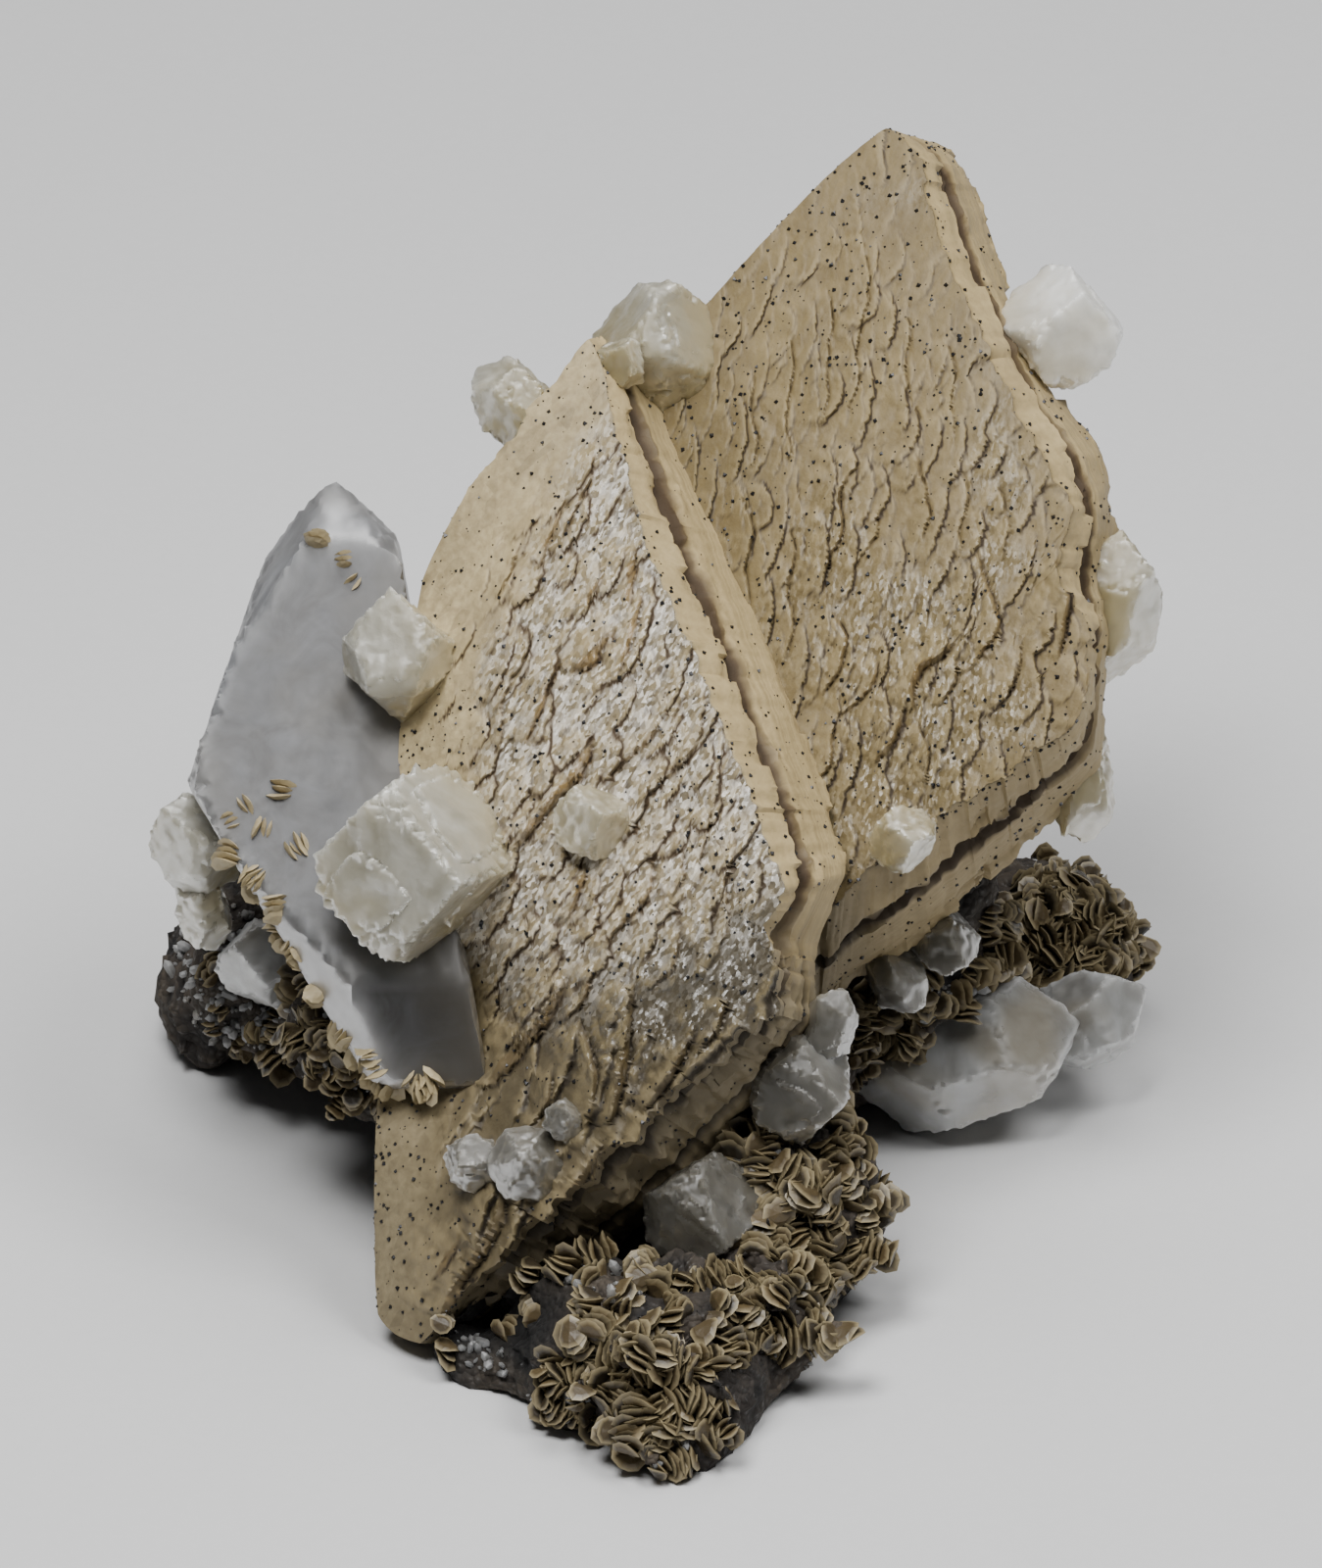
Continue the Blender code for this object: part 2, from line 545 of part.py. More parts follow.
def main():
    clear_scene()
    tan = material("siderite_tan", (0.50, 0.40, 0.24), 0.45)
    milky = material("quartz_milky", (0.78, 0.77, 0.74), 0.3)
    dark = material("rock_dark", (0.07, 0.06, 0.05), 0.8)

    crystals = {item.name: item for item in wanted_quartz(finish=milky)}
    placed = []
    for name, item in crystals.items():
        cut_sockets(item, placed)
        placed.append(name)

    front_stack = (FRONT_FACE, FRONT_BACK, FRONT_SHEET, FRONT_DEPTH, FRONT_LEDGES)
    rear_stack = (REAR_FACE, REAR_BACK, REAR_SHEET, REAR_DEPTH, REAR_LEDGES)
    front_plates = face_plates(FRONT_FACE, FRONT_SHEET, math.radians(60), (8.0, 5.6), 9.0, 6.4, 1)
    rear_plates = face_plates(REAR_FACE, REAR_SHEET, math.radians(80), (8.0, 5.4), 9.0, 6.2, 2)
    front = siderite("siderite_front", front_stack, front_plates, tan)
    rear = siderite("siderite_rear", rear_stack, rear_plates, tan)

    def front_cutter():
        return object_from("front_cutter", lamella_stack(*front_stack, swell=STACK_GAP))

    def rear_cutter():
        return object_from("rear_cutter", lamella_stack(*rear_stack, swell=STACK_GAP))

    combine(rear, front_cutter(), "DIFFERENCE")
    cut_sockets(front, placed)
    cut_sockets(rear, placed)

    base = rock(dark)
    grow_rosettes(base)
    combine(base, front_cutter(), "DIFFERENCE", "MANIFOLD")
    combine(base, rear_cutter(), "DIFFERENCE", "MANIFOLD")
    cut_sockets(base, placed, "MANIFOLD")
    join_level_faces(base, LEVEL_ROCK)
    for item in (*crystals.values(), front, rear):
        join_level_faces(item, LEVEL_CRYSTAL)
        centre_origin(item)


main()
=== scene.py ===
# Siderite with quartz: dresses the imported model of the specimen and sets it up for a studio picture.
# Lengths in the plans are in millimetres. A place is (right, up, near) in the front view, which looks down
# on the specimen by 30 degrees; onStage turns it into the model's metres.
import math
import random

import bmesh
import bpy
import numpy as np
from mathutils import Matrix, Vector
from mathutils.bvhtree import BVHTree


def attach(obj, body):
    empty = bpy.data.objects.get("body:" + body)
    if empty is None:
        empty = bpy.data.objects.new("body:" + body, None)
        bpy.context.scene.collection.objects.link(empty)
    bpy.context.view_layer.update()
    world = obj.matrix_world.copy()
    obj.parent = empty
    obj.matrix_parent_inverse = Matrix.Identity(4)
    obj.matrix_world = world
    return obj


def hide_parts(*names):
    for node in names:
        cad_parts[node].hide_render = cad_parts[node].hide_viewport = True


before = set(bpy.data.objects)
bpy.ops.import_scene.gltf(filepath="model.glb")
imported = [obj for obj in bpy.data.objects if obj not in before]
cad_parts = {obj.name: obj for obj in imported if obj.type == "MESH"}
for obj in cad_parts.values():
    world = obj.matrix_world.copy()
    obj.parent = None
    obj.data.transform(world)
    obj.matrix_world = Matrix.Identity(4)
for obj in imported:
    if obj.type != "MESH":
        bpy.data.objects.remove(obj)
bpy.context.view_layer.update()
mm = 0.001
view = {"tilt": math.radians(30.0), "foot": 33.3, "distance": 2000.0, "fieldTall": 116.8}


def onStage(right, up, near):
    # turns the view plane up by the tilt: depth = up·sin − near·cos, height = up·cos + near·sin + foot
    right, up, near = np.broadcast_arrays(right, up, near)
    depth = up * math.sin(view["tilt"]) - near * math.cos(view["tilt"])
    height = up * math.cos(view["tilt"]) + near * math.sin(view["tilt"]) + view["foot"]
    return np.stack([right, depth, height], -1) * mm


def frontView(points):
    # the way back: up = depth·sin + (height − foot)·cos, near = (height − foot)·sin − depth·cos
    right, depth, height = (points / mm).T
    height = height - view["foot"]
    sine, cosine = math.sin(view["tilt"]), math.cos(view["tilt"])
    return right, depth * sine + height * cosine, height * sine - depth * cosine


def heading(right, up, near):
    # a direction of the front view as a unit direction of the model
    return Vector(onStage(right, up, near) - onStage(0.0, 0.0, 0.0)).normalized()


def randomAt(cells, seed):
    # one number from 0 to 1 for every whole-number cell, from a hash of its coordinates
    mixed = (cells * np.array([73856093, 19349663, 83492791])[: cells.shape[-1]]).sum(-1) + seed * 7919
    mixed = mixed & 0xFFFFFFFF
    mixed = ((mixed ^ (mixed >> 15)) * 2246822519) & 0xFFFFFFFF
    mixed = ((mixed ^ (mixed >> 13)) * 3266489917) & 0xFFFFFFFF
    return ((mixed ^ (mixed >> 16)) & 0xFFFFFF) / 0xFFFFFF


def noise(points, size, seed=0):
    # value noise from -1 to 1: random numbers on a lattice of the given size, blended by 3t² − 2t³
    scaled = np.asarray(points, float) / size
    cells = np.floor(scaled).astype(np.int64)
    part = scaled - cells
    part = part * part * (3 - 2 * part)
    total = 0.0
    for corner in np.ndindex(*(2,) * cells.shape[-1]):
        weight = np.prod(np.where(corner, part, 1 - part), -1)
        total = total + weight * randomAt(cells + np.array(corner), seed)
    return total * 2 - 1


def roughness(points, size, steps, seed=0):
    # fractal noise: each step is half as wide and half as high as the one before
    return sum(noise(points, size / 2**step, seed + step) / 2**step for step in range(steps))


def smoothStep(low, high, x):
    # 0 below low, 1 above high, 3t² − 2t³ between
    t = np.clip((x - low) / (high - low), 0.0, 1.0)
    return t * t * (3 - 2 * t)


def addPiece(name, points, faces, finish, nodes=(), marks=None, smooth=True, sharp=None):
    # makes a mesh from whole arrays: faces is a list of arrays with 3 or 4 columns
    mesh = bpy.data.meshes.new(name)
    points = np.asarray(points, np.float32).reshape(-1, 3)
    corners = np.concatenate([np.asarray(f).ravel() for f in faces]).astype(np.int32)
    sizes = np.concatenate([np.full(len(f), np.asarray(f).shape[1]) for f in faces])
    mesh.vertices.add(len(points))
    mesh.vertices.foreach_set("co", points.ravel())
    mesh.loops.add(len(corners))
    mesh.loops.foreach_set("vertex_index", corners)
    mesh.polygons.add(len(sizes))
    mesh.polygons.foreach_set("loop_start", (np.cumsum(sizes) - sizes).astype(np.int32))
    mesh.update(calc_edges=True)
    mesh.validate()
    for mark, values in (marks or {}).items():
        attribute = mesh.attributes.new(mark, "FLOAT", "POINT")
        attribute.data.foreach_set("value", np.asarray(values, np.float32).ravel())
    mesh.polygons.foreach_set("use_smooth", np.full(len(sizes), smooth))
    if sharp:
        mesh.set_sharp_from_angle(angle=math.radians(sharp))
    piece = bpy.data.objects.new(name, mesh)
    bpy.context.scene.collection.objects.link(piece)
    mesh.materials.append(finish)
    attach(piece, "root")
    if nodes:
        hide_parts(*nodes)
    print(f"{name}: {int((sizes - 2).sum())} triangles")
    return piece


def gridFaces(rows, columns, offset=0, wrap=False):
    # quads of a grid of rows × columns points, closed round its columns when wrap is set
    i, j = np.meshgrid(np.arange(rows - 1), np.arange(columns if wrap else columns - 1), indexing="ij")
    k = (j + 1) % columns
    quads = np.stack([i * columns + j, i * columns + k, (i + 1) * columns + k, (i + 1) * columns + j], -1)
    return quads.reshape(-1, 4) + offset


def linear(code):
    # an sRGB hex colour as the linear colour that a shader takes
    parts = [int(code[i : i + 2], 16) / 255 for i in (1, 3, 5)]
    return (*[p / 12.92 if p <= 0.04045 else ((p + 0.055) / 1.055) ** 2.4 for p in parts], 1.0)


def addNode(tree, kind, settings=None):
    # adds one shader node. A setting is a property of the node, or else an input by its name or number, which
    # is linked when its value is another node's output
    node = tree.nodes.new(kind)
    for name, value in (settings or {}).items():
        if isinstance(name, str) and hasattr(node, name):
            setattr(node, name, value)
        elif isinstance(value, bpy.types.NodeSocket):
            tree.links.new(value, node.inputs[name])
        else:
            node.inputs[name].default_value = value
    return node


def startMaterial(name):
    # a new material, its nodes, its shader and the place on the object that its patterns read
    finish = bpy.data.materials.new(name)
    finish.use_nodes = True
    tree = finish.node_tree
    place = addNode(tree, "ShaderNodeTexCoord").outputs["Object"]
    return finish, tree, tree.nodes["Principled BSDF"], place
# The two large siderites. face and back are outlines (right, up), clockwise from the tip, with the same
# corners on the front face and on the back of the stack; corners are the places in that list of the rhomb's
# corners. ledges say how the sides step back: depth as a share, how far from the face's outline to the
# back's, how far in, and how dark each groove is painted, brown stain with painted shade; split is where the
# upper ledges pass into the lower ones, and shaded where painted shade darkens the lower ones. tiles and slabs
# lay the finer plates: spacing along and across the grain, half length, bulge, lift and how far back each
# reaches. steps are the larger plates' free edges: their course, lift and the broken edge's width.
frontSiderite = {
    "name": "siderite_front",
    "face": [
        (-3.6, 31.6), (-2.6, 27.0), (-1.3, 21.7), (2.4, 12.0), (5.2, 4.7), (8.3, -2.4), (9.7, -6.6),
        (8.4, -9.9), (9.0, -15.1), (5.0, -18.8), (-1.2, -24.5), (-7.8, -30.7), (-13.7, -36.1),
        (-17.3, -40.4), (-20.5, -38.3), (-20.7, -25.2), (-19.5, -10.6), (-18.9, 5.1), (-17.2, 16.4),
        (-13.7, 23.2), (-7.8, 30.7), (-4.9, 34.3),
    ],
    "back": [
        (-0.5, 34.3), (2.8, 26.6), (6.2, 19.7), (9.9, 11.0), (12.2, 4.2), (14.2, -2.6), (14.6, -5.5),
        (12.5, -11.0), (12.5, -16.4), (9.4, -21.5), (3.9, -28.1), (-2.0, -33.6), (-7.8, -38.0),
        (-12.9, -40.9), (-16.0, -39.0), (-16.6, -25.5), (-15.4, -10.6), (-14.6, 5.1), (-12.8, 16.8),
        (-9.6, 24.0), (-4.6, 31.0), (-2.0, 35.0),
    ],
    "corners": {"tip": 21, "right": 28, "bottom": 35, "left": 38},
    "sheet": {"middle": (-4.5, -3.0), "near": 12.0, "slopes": (0.32, -0.24), "crown": 0.005,
              "rollFrom": -8.0, "roll": 0.02, "dip": (-15.0, -17.5, 6.5, 7.0)},
    "depth": 12.5,
    "ledges": {
        "upper": [(0, 0, 0, 0), (0.16, 0.37, 0, 0), (0.19, 0.37, 0.4, 0.6), (0.31, 0.40, 0.6, 0.85),
                  (0.35, 0.46, 0, 0.6), (0.37, 0.48, 0, 0), (0.74, 0.96, 0, 0), (0.79, 0.97, 0.7, 0.8),
                  (1, 1, 0.9, 0.5)],
        "lower": [(0, 0, 0, 0), (0.09, 0.08, 0, 0.1), (0.12, 0.08, 0.5, 0.9), (0.18, 0.14, 0.7, 0.9),
                  (0.21, 0.24, 0, 0.6), (0.23, 0.26, 0, 0), (0.46, 0.58, 0, 0), (0.49, 0.58, 0.4, 0.8),
                  (0.54, 0.62, 0.4, 0.8), (0.57, 0.70, 0, 0.1), (0.76, 0.88, 0, 0), (0.80, 0.88, 0.7, 0.8),
                  (1, 1, 0.9, 0.5)],
        "split": (-17.0, -6.0), "shaded": (60.0, 50.0),
    },
    "grain": 60.0,
    "tiles": [((3.4, 2.0), (1.4, 3.2), (0.3, 0.9), (0.14, 0.52), 2.4),
              ((1.8, 1.2), (0.6, 1.4), (0.15, 0.5), (0.05, 0.17), 1.3)],
    "steps": [
        ([(-1.6, 18.9), (-2.0, 16.4), (-2.1, 14.0)], 0.8, 0.7),
        ([(-0.9, 15.3), (-1.5, 13.7), (-2.0, 11.7), (-2.8, 9.1)], 0.6, 0.5),
        ([(-2.9, 12.8), (-4.2, 11.7), (-5.3, 10.4), (-6.4, 9.3)], 1.0, 1.1),
        ([(-3.7, 16.6), (-4.6, 15.7), (-5.1, 14.9), (-4.7, 13.5)], 0.5, 0.4),
        ([(-4.7, 5.0), (-5.8, 2.2), (-7.8, 0.0), (-9.6, -2.2), (-10.5, -3.9)], 1.2, 1.1),
        ([(-7.4, 11.0), (-7.2, 9.9), (-8.1, 7.8), (-8.9, 5.8), (-9.7, 3.9)], 0.6, 0.4),
        ([(-8.7, 12.8), (-10.0, 9.9), (-11.3, 7.7), (-11.3, 5.5), (-11.4, 3.6)], 0.5, 0.2),
        ([(3.6, 8.8), (3.7, 6.6), (3.4, 4.4), (2.0, 2.6), (0.4, 1.2), (-0.9, 0.0)], 0.5, 0.22),
        ([(3.2, 8.4), (2.0, 7.3), (1.2, 5.8)], 0.35, 0.2),
        ([(0.8, 5.9), (-0.9, 4.0), (-2.3, 2.9), (-3.1, 1.7)], 0.5, 0.3),
        ([(-5.1, -5.1), (-5.9, -6.9), (-6.5, -9.0)], 0.8, 0.6),
        ([(-0.1, -2.9), (-0.2, -6.6), (-1.6, -8.4), (-3.1, -9.9), (-4.2, -11.5)], 0.5, 0.35),
        ([(2.2, -3.5), (2.1, -5.6), (1.2, -7.4)], 0.4, 0.2),
        ([(4.2, -0.9), (3.6, -3.5), (3.2, -5.2)], 0.4, 0.2),
        ([(6.0, -1.0), (6.0, -4.0), (5.0, -6.0), (5.6, -9.0), (4.6, -12.0)], 0.45, 0.22),
        ([(-4.5, 25.9), (-4.9, 23.7), (-6.0, 21.5), (-6.9, 19.3)], 0.5, 0.3),
        ([(-6.6, 22.6), (-7.8, 19.7), (-8.7, 17.0)], 0.5, 0.35),
        ([(-9.8, 19.6), (-10.6, 17.2), (-11.8, 15.0)], 0.35, 0.2),
        ([(-12.6, 0.5), (-13.4, -1.8), (-14.8, -3.6)], 0.5, 0.3),
        ([(2.0, -9.6), (1.4, -12.4), (-0.6, -14.2)], 0.5, 0.3),
        ([(-4.4, -12.6), (-5.4, -15.0), (-7.2, -16.6)], 0.6, 0.4),
        ([(-6.4, -13.0), (-9.1, -16.9), (-11.3, -19.4), (-12.6, -21.6)], 1.5, 1.2),
        ([(-1.6, -13.6), (-2.4, -19.4), (-3.3, -24.2)], 1.5, 0.7),
        ([(-5.6, -16.4), (-4.4, -20.4), (-5.0, -24.4)], 1.1, 0.5),
        ([(-0.3, -23.4), (-1.6, -26.6), (-3.8, -28.9)], 1.5, 0.8),
        ([(3.2, -16.6), (1.2, -20.2), (-0.8, -23.0)], 1.1, 0.6),
        ([(-3.8, -25.4), (-6.6, -29.6), (-9.0, -32.0)], 1.3, 0.8),
        ([(-7.6, -20.0), (-8.0, -22.6), (-9.4, -24.4)], 0.8, 0.4),
        ([(5.4, -14.8), (4.6, -17.0), (3.0, -18.8)], 0.8, 0.4),
        ([(-11.3, -29.1), (-12.0, -31.7), (-15.0, -36.2), (-16.0, -38.5)], 1.5, 1.2),
        ([(-14.5, -32.4), (-16.5, -35.6)], 1.0, 0.6),
    ],
    "slabs": {"grain": 64.0, "tiles": [((6.5, 2.1), (2.4, 5.0), (0.2, 0.6), (0.5, 1.3), 2.4),
                                       ((3.6, 1.2), (1.1, 2.4), (0.1, 0.4), (0.15, 0.45), 1.3)]},
    "seed": 11,
}
rearSiderite = {
    "name": "siderite_rear",
    "face": [
        (17.4, 50.2), (19.6, 48.7), (20.5, 44.9), (23.2, 37.6), (26.5, 30.3), (29.3, 24.5), (31.0, 21.4),
        (30.0, 17.5), (32.0, 13.0), (32.4, 9.4), (31.6, 6.2), (27.5, 2.8), (21.7, -1.3), (15.3, -6.0),
        (9.4, -10.8), (4.4, -8.6), (1.7, 1.1), (0.4, 15.7), (1.1, 32.9), (5.0, 38.2), (9.7, 43.3),
        (14.2, 47.8),
    ],
    "back": [
        (21.8, 49.2), (23.6, 48.0), (24.9, 44.9), (27.0, 38.3), (30.5, 30.7), (33.9, 25.9), (34.7, 21.5),
        (34.7, 17.2), (34.5, 12.0), (33.9, 8.4), (33.5, 1.8), (28.7, -3.1), (22.5, -9.1), (14.3, -14.9),
        (9.7, -18.5), (6.0, -14.0), (4.4, 0.0), (3.6, 15.0), (4.6, 31.0), (8.4, 37.0), (13.0, 42.6),
        (18.4, 47.2),
    ],
    "corners": {"tip": 22, "right": 32, "bottom": 36, "left": 40},
    "sheet": {"middle": (19.2, 18.6), "near": 2.0, "slopes": (0.27, -0.27), "crown": 0.004,
              "rollFrom": 2.0, "roll": 0.02, "dip": None},
    "depth": 14.0,
    "ledges": {
        "upper": [(0, 0, 0, 0), (0.17, 0.46, 0, 0), (0.20, 0.47, 0.3, 0.6), (0.34, 0.48, 0.5, 0.85),
                  (0.38, 0.53, 0, 0.6), (0.40, 0.55, 0, 0), (0.82, 0.97, 0, 0), (0.87, 0.98, 0.6, 0.8),
                  (1, 1, 0.8, 0.5)],
        "lower": [(0, 0, 0, 0), (0.22, 0.44, 0, 0), (0.25, 0.44, 0.4, 0.7), (0.40, 0.47, 0.8, 0.85),
                  (0.44, 0.54, 0, 0.7), (0.46, 0.56, 0, 0), (0.86, 0.98, 0, 0), (0.90, 0.98, 0.5, 0.8),
                  (1, 1, 0.7, 0.5)],
        "split": (2.0, 14.0), "shaded": (20.0, 11.0),
    },
    "grain": 80.0,
    "tiles": [((4.4, 1.9), (1.8, 3.8), (0.5, 1.1), (0.15, 0.45), 2.4),
              ((1.9, 1.2), (0.7, 1.7), (0.2, 0.6), (0.05, 0.17), 1.3)],
    "steps": [
        ([(15.5, 25.3), (13.6, 22.9), (13.9, 20.8), (13.9, 19.6), (12.6, 17.4), (12.8, 14.1)], 0.7, 0.3),
        ([(13.0, 14.0), (14.3, 12.0), (13.7, 9.6), (12.4, 7.6)], 0.6, 0.3),
        ([(19.4, 26.0), (20.0, 23.7), (20.5, 21.2), (19.9, 19.0)], 0.5, 0.15),
        ([(16.6, 21.2), (16.6, 19.6), (14.5, 16.6)], 0.35, 0.12),
        ([(24.0, 18.6), (24.5, 16.1), (25.6, 13.1), (24.7, 11.4), (22.9, 9.2)], 0.6, 0.4),
        ([(22.5, 11.7), (21.0, 10.7), (19.6, 9.9), (18.9, 8.4), (19.1, 6.4)], 1.0, 0.7),
        ([(22.6, 10.4), (22.4, 8.6), (21.0, 6.8)], 0.5, 0.25),
        ([(15.5, 42.6), (16.0, 40.4), (16.2, 38.3), (15.5, 35.4), (15.0, 33.6), (15.4, 31.4), (14.7, 29.6),
          (14.2, 27.4)], 0.4, 0.1),
        ([(10.1, 34.7), (10.6, 32.3), (10.1, 30.3), (9.7, 28.0), (10.3, 26.6), (9.9, 24.5)], 0.35, 0.1),
        ([(13.0, 38.3), (13.4, 35.4), (12.8, 32.5), (13.1, 30.3), (12.3, 27.4)], 0.3, 0.1),
        ([(18.8, 37.6), (19.2, 34.7), (18.6, 31.8), (19.2, 29.6), (20.3, 27.4)], 0.3, 0.1),
        ([(21.8, 34.7), (22.5, 31.8), (22.0, 29.6), (22.5, 26.6)], 0.3, 0.1),
        ([(7.5, 31.8), (7.2, 28.8), (7.7, 26.6), (7.2, 24.5)], 0.3, 0.12),
        ([(6.6, 22.6), (7.4, 20.0), (6.6, 17.0), (7.2, 14.0)], 0.4, 0.2),
        ([(9.8, 20.6), (10.6, 18.4), (9.8, 15.4), (10.4, 12.6), (9.6, 10.0)], 0.45, 0.2),
        ([(16.6, 10.4), (16.2, 8.6), (13.9, 6.1)], 0.5, 0.35),
        ([(18.4, 6.5), (17.6, 4.4), (16.4, 2.6)], 0.6, 0.45),
        ([(19.6, 5.7), (20.4, 3.2), (20.2, 1.0)], 0.6, 0.2),
        ([(13.4, 5.4), (13.0, 2.6), (11.4, 0.4)], 0.5, 0.3),
        ([(25.6, 23.4), (26.4, 20.6), (25.9, 17.6)], 0.35, 0.12),
        ([(23.0, 24.6), (23.4, 22.2), (22.6, 19.8), (22.9, 17.4)], 0.3, 0.12),
        ([(29.6, 17.8), (29.9, 16.9), (30.7, 14.9), (30.3, 12.5), (30.1, 10.4)], 0.8, 0.4),
        ([(27.4, 12.0), (27.0, 9.0), (25.4, 6.4)], 0.35, 0.15),
    ],
    "slabs": None,
    "seed": 23,
}


def closedCurve(outline, where):
    # Catmull-Rom curve through the corners of an outline, a cubic whose slope at a corner joins its
    # neighbours, averaged with the straight line between the corners
    outline = np.array(outline, float)
    start = np.floor(where).astype(int)
    t = (where - start)[:, None]
    a, b, c, d = (outline[(start + k) % len(outline)] for k in (-1, 0, 1, 2))
    bent = 0.5 * (2 * b + (c - a) * t + (2 * a - 5 * b + 4 * c - d) * t**2 + (3 * b - a - 3 * c + d) * t**3)
    straight = b + (c - b) * t
    return 0.5 * bent + 0.5 * straight


def evenSteps(outline, first, last, count):
    # places between two corners of an outline, evenly spaced along its length
    fine = np.linspace(first, last, 400)
    path = closedCurve(outline, fine)
    run = np.concatenate([[0], np.cumsum(np.hypot(*np.diff(path, axis=0).T))])
    return np.interp(np.linspace(0, run[-1], count + 1), run, fine)


def sheetNear(sheet, right, up):
    # the crowned face: a sloping plane, less a crown with the square of the distance from its middle,
    # less a roll past its left margin, less a dip round the foot of the large quartz
    along, above = right - sheet["middle"][0], up - sheet["middle"][1]
    near = sheet["near"] + sheet["slopes"][0] * along + sheet["slopes"][1] * above
    near = near - sheet["crown"] * (along**2 + above**2)
    near = near - sheet["roll"] * np.maximum(0, sheet["rollFrom"] - right) ** 2
    if sheet["dip"]:
        x, y, wide, deep = sheet["dip"]
        near = near - deep * np.exp(-((right - x) ** 2 + (up - y) ** 2) / wide**2)
    return near


def shingles(right, up, plan):
    # overlapping plates laid like tiles, each climbing in a straight slope to its free edge, an arc bulging
    # down the slope. Sizes go from large to small, and each size lies on the one before.
    # Also returns a tone for each plate.
    along, across = alongGrain(right, up, plan)
    across = across + 0.9 * noise(np.stack([right, up], -1), 8.0, plan["seed"])
    chance = np.random.default_rng(plan["seed"])
    relief, tone = np.zeros_like(right), np.zeros_like(right)
    for (stepAlong, stepAcross), halfLengths, bulges, lifts, back in plan["tiles"]:
        layer, shade = np.zeros_like(right), np.zeros_like(right)
        rows = np.arange(across.min() - 1, across.max() + 1, stepAcross)
        for row, y0 in enumerate(rows):
            for x0 in np.arange(along.min() - 2 + row % 2 * stepAlong / 2, along.max() + 2, stepAlong):
                x1 = x0 + chance.uniform(-0.45, 0.45) * stepAlong
                y1 = y0 + chance.uniform(-0.5, 0.5) * stepAcross
                half, bulge, lift = (chance.uniform(*r) for r in (halfLengths, bulges, lifts))
                skew, mine = chance.uniform(-0.25, 0.25), chance.uniform(-1, 1)
                x, y = along - x1, across - y1
                near = (np.abs(x) < half) & (y > -back) & (y < bulge + half * 0.5 + 0.5)
                if not near.any():
                    continue
                x, y = x[near], y[near]
                u = x / half
                ragged = 0.10 * noise(np.stack([x, np.full_like(x, y1)], -1), 0.8, row)
                edge = bulge * (1 - u**2) + skew * x + ragged
                ends = 1 - u**4
                height = np.where(y < edge, lift * ends * np.clip(1 + (y - edge) / back, 0, 1), 0)
                higher = height > layer[near]
                layer[near] = np.where(higher, height, layer[near])
                shade[near] = np.where(higher, mine * ends, shade[near])
        relief += layer
        tone += shade * 0.6
    return relief, tone


def alongGrain(right, up, plan):
    # distances along and across the grain of the plates, in mm
    angle = math.radians(plan["grain"])
    return right * math.cos(angle) + up * math.sin(angle), right * math.sin(angle) - up * math.cos(angle)


def brokenSteps(right, up, plan):
    # the larger plates: nearest point of each edge curve, then on the plate's side a height that fades with
    # the distance, and on the other side a broken slope as wide as given. Returns height, slope and gap marks;
    # the gap marks the foot of the broken edge, where a painted shadow goes
    relief, slope, gap = (np.zeros_like(right) for _ in range(3))
    at = np.stack([right, up], -1)
    for number, (course, lift, wide) in enumerate(plan["steps"]):
        course = np.array(course, float)
        run = np.linspace(0, len(course) - 1, 28)
        path = np.stack([np.interp(run, np.arange(len(course)), course[:, k]) for k in (0, 1)], -1)
        for _ in range(2):
            path[1:-1] = (path[:-2] + path[1:-1] + path[2:]) / 3
        low, high = path.min(0) - 4.5, path.max(0) + 4.5
        near = (right > low[0]) & (right < high[0]) & (up > low[1]) & (up < high[1])
        if not near.any():
            continue
        spot = at[near]
        offset = spot[:, None] - path[None]
        closest = (offset**2).sum(-1).argmin(1)
        ahead = np.gradient(path, axis=0)
        ahead /= np.linalg.norm(ahead, axis=1, keepdims=True)
        mine, onward = offset[np.arange(len(spot)), closest], ahead[closest]
        side = mine[:, 1] * onward[:, 0] - mine[:, 0] * onward[:, 1]
        side = side + 0.14 * noise(spot, 1.0, number) + 0.05 * noise(spot, 0.4, number + 50)
        reach = np.hypot(*mine.T)
        past = np.sqrt(np.maximum(reach**2 - side**2, 0))
        share = closest / (len(path) - 1)
        fades = (4 * share * (1 - share)) ** 0.5 * np.clip(1 - past / 0.8, 0, 1)
        width = wide * fades + 1e-3
        onPlate = np.where(side < 0, np.clip(1 + side / 4.0, 0, 1) ** 1.5, np.clip(1 - side / width, 0, 1))
        height = lift * fades * onPlate
        relief[near] = np.maximum(relief[near], height)
        broken = np.where((side > 0) & (side < width), fades, 0) * min(1.0, wide / 0.4)
        slope[near] = np.maximum(slope[near], broken)
        foot = np.clip(1 - np.abs(side - width) / (0.10 + 0.16 * wide), 0, 1) * np.minimum(1, 1.6 * fades)
        gap[near] = np.maximum(gap[near], foot * (0.55 + 0.45 * min(1, lift)))
    return relief, slope, gap


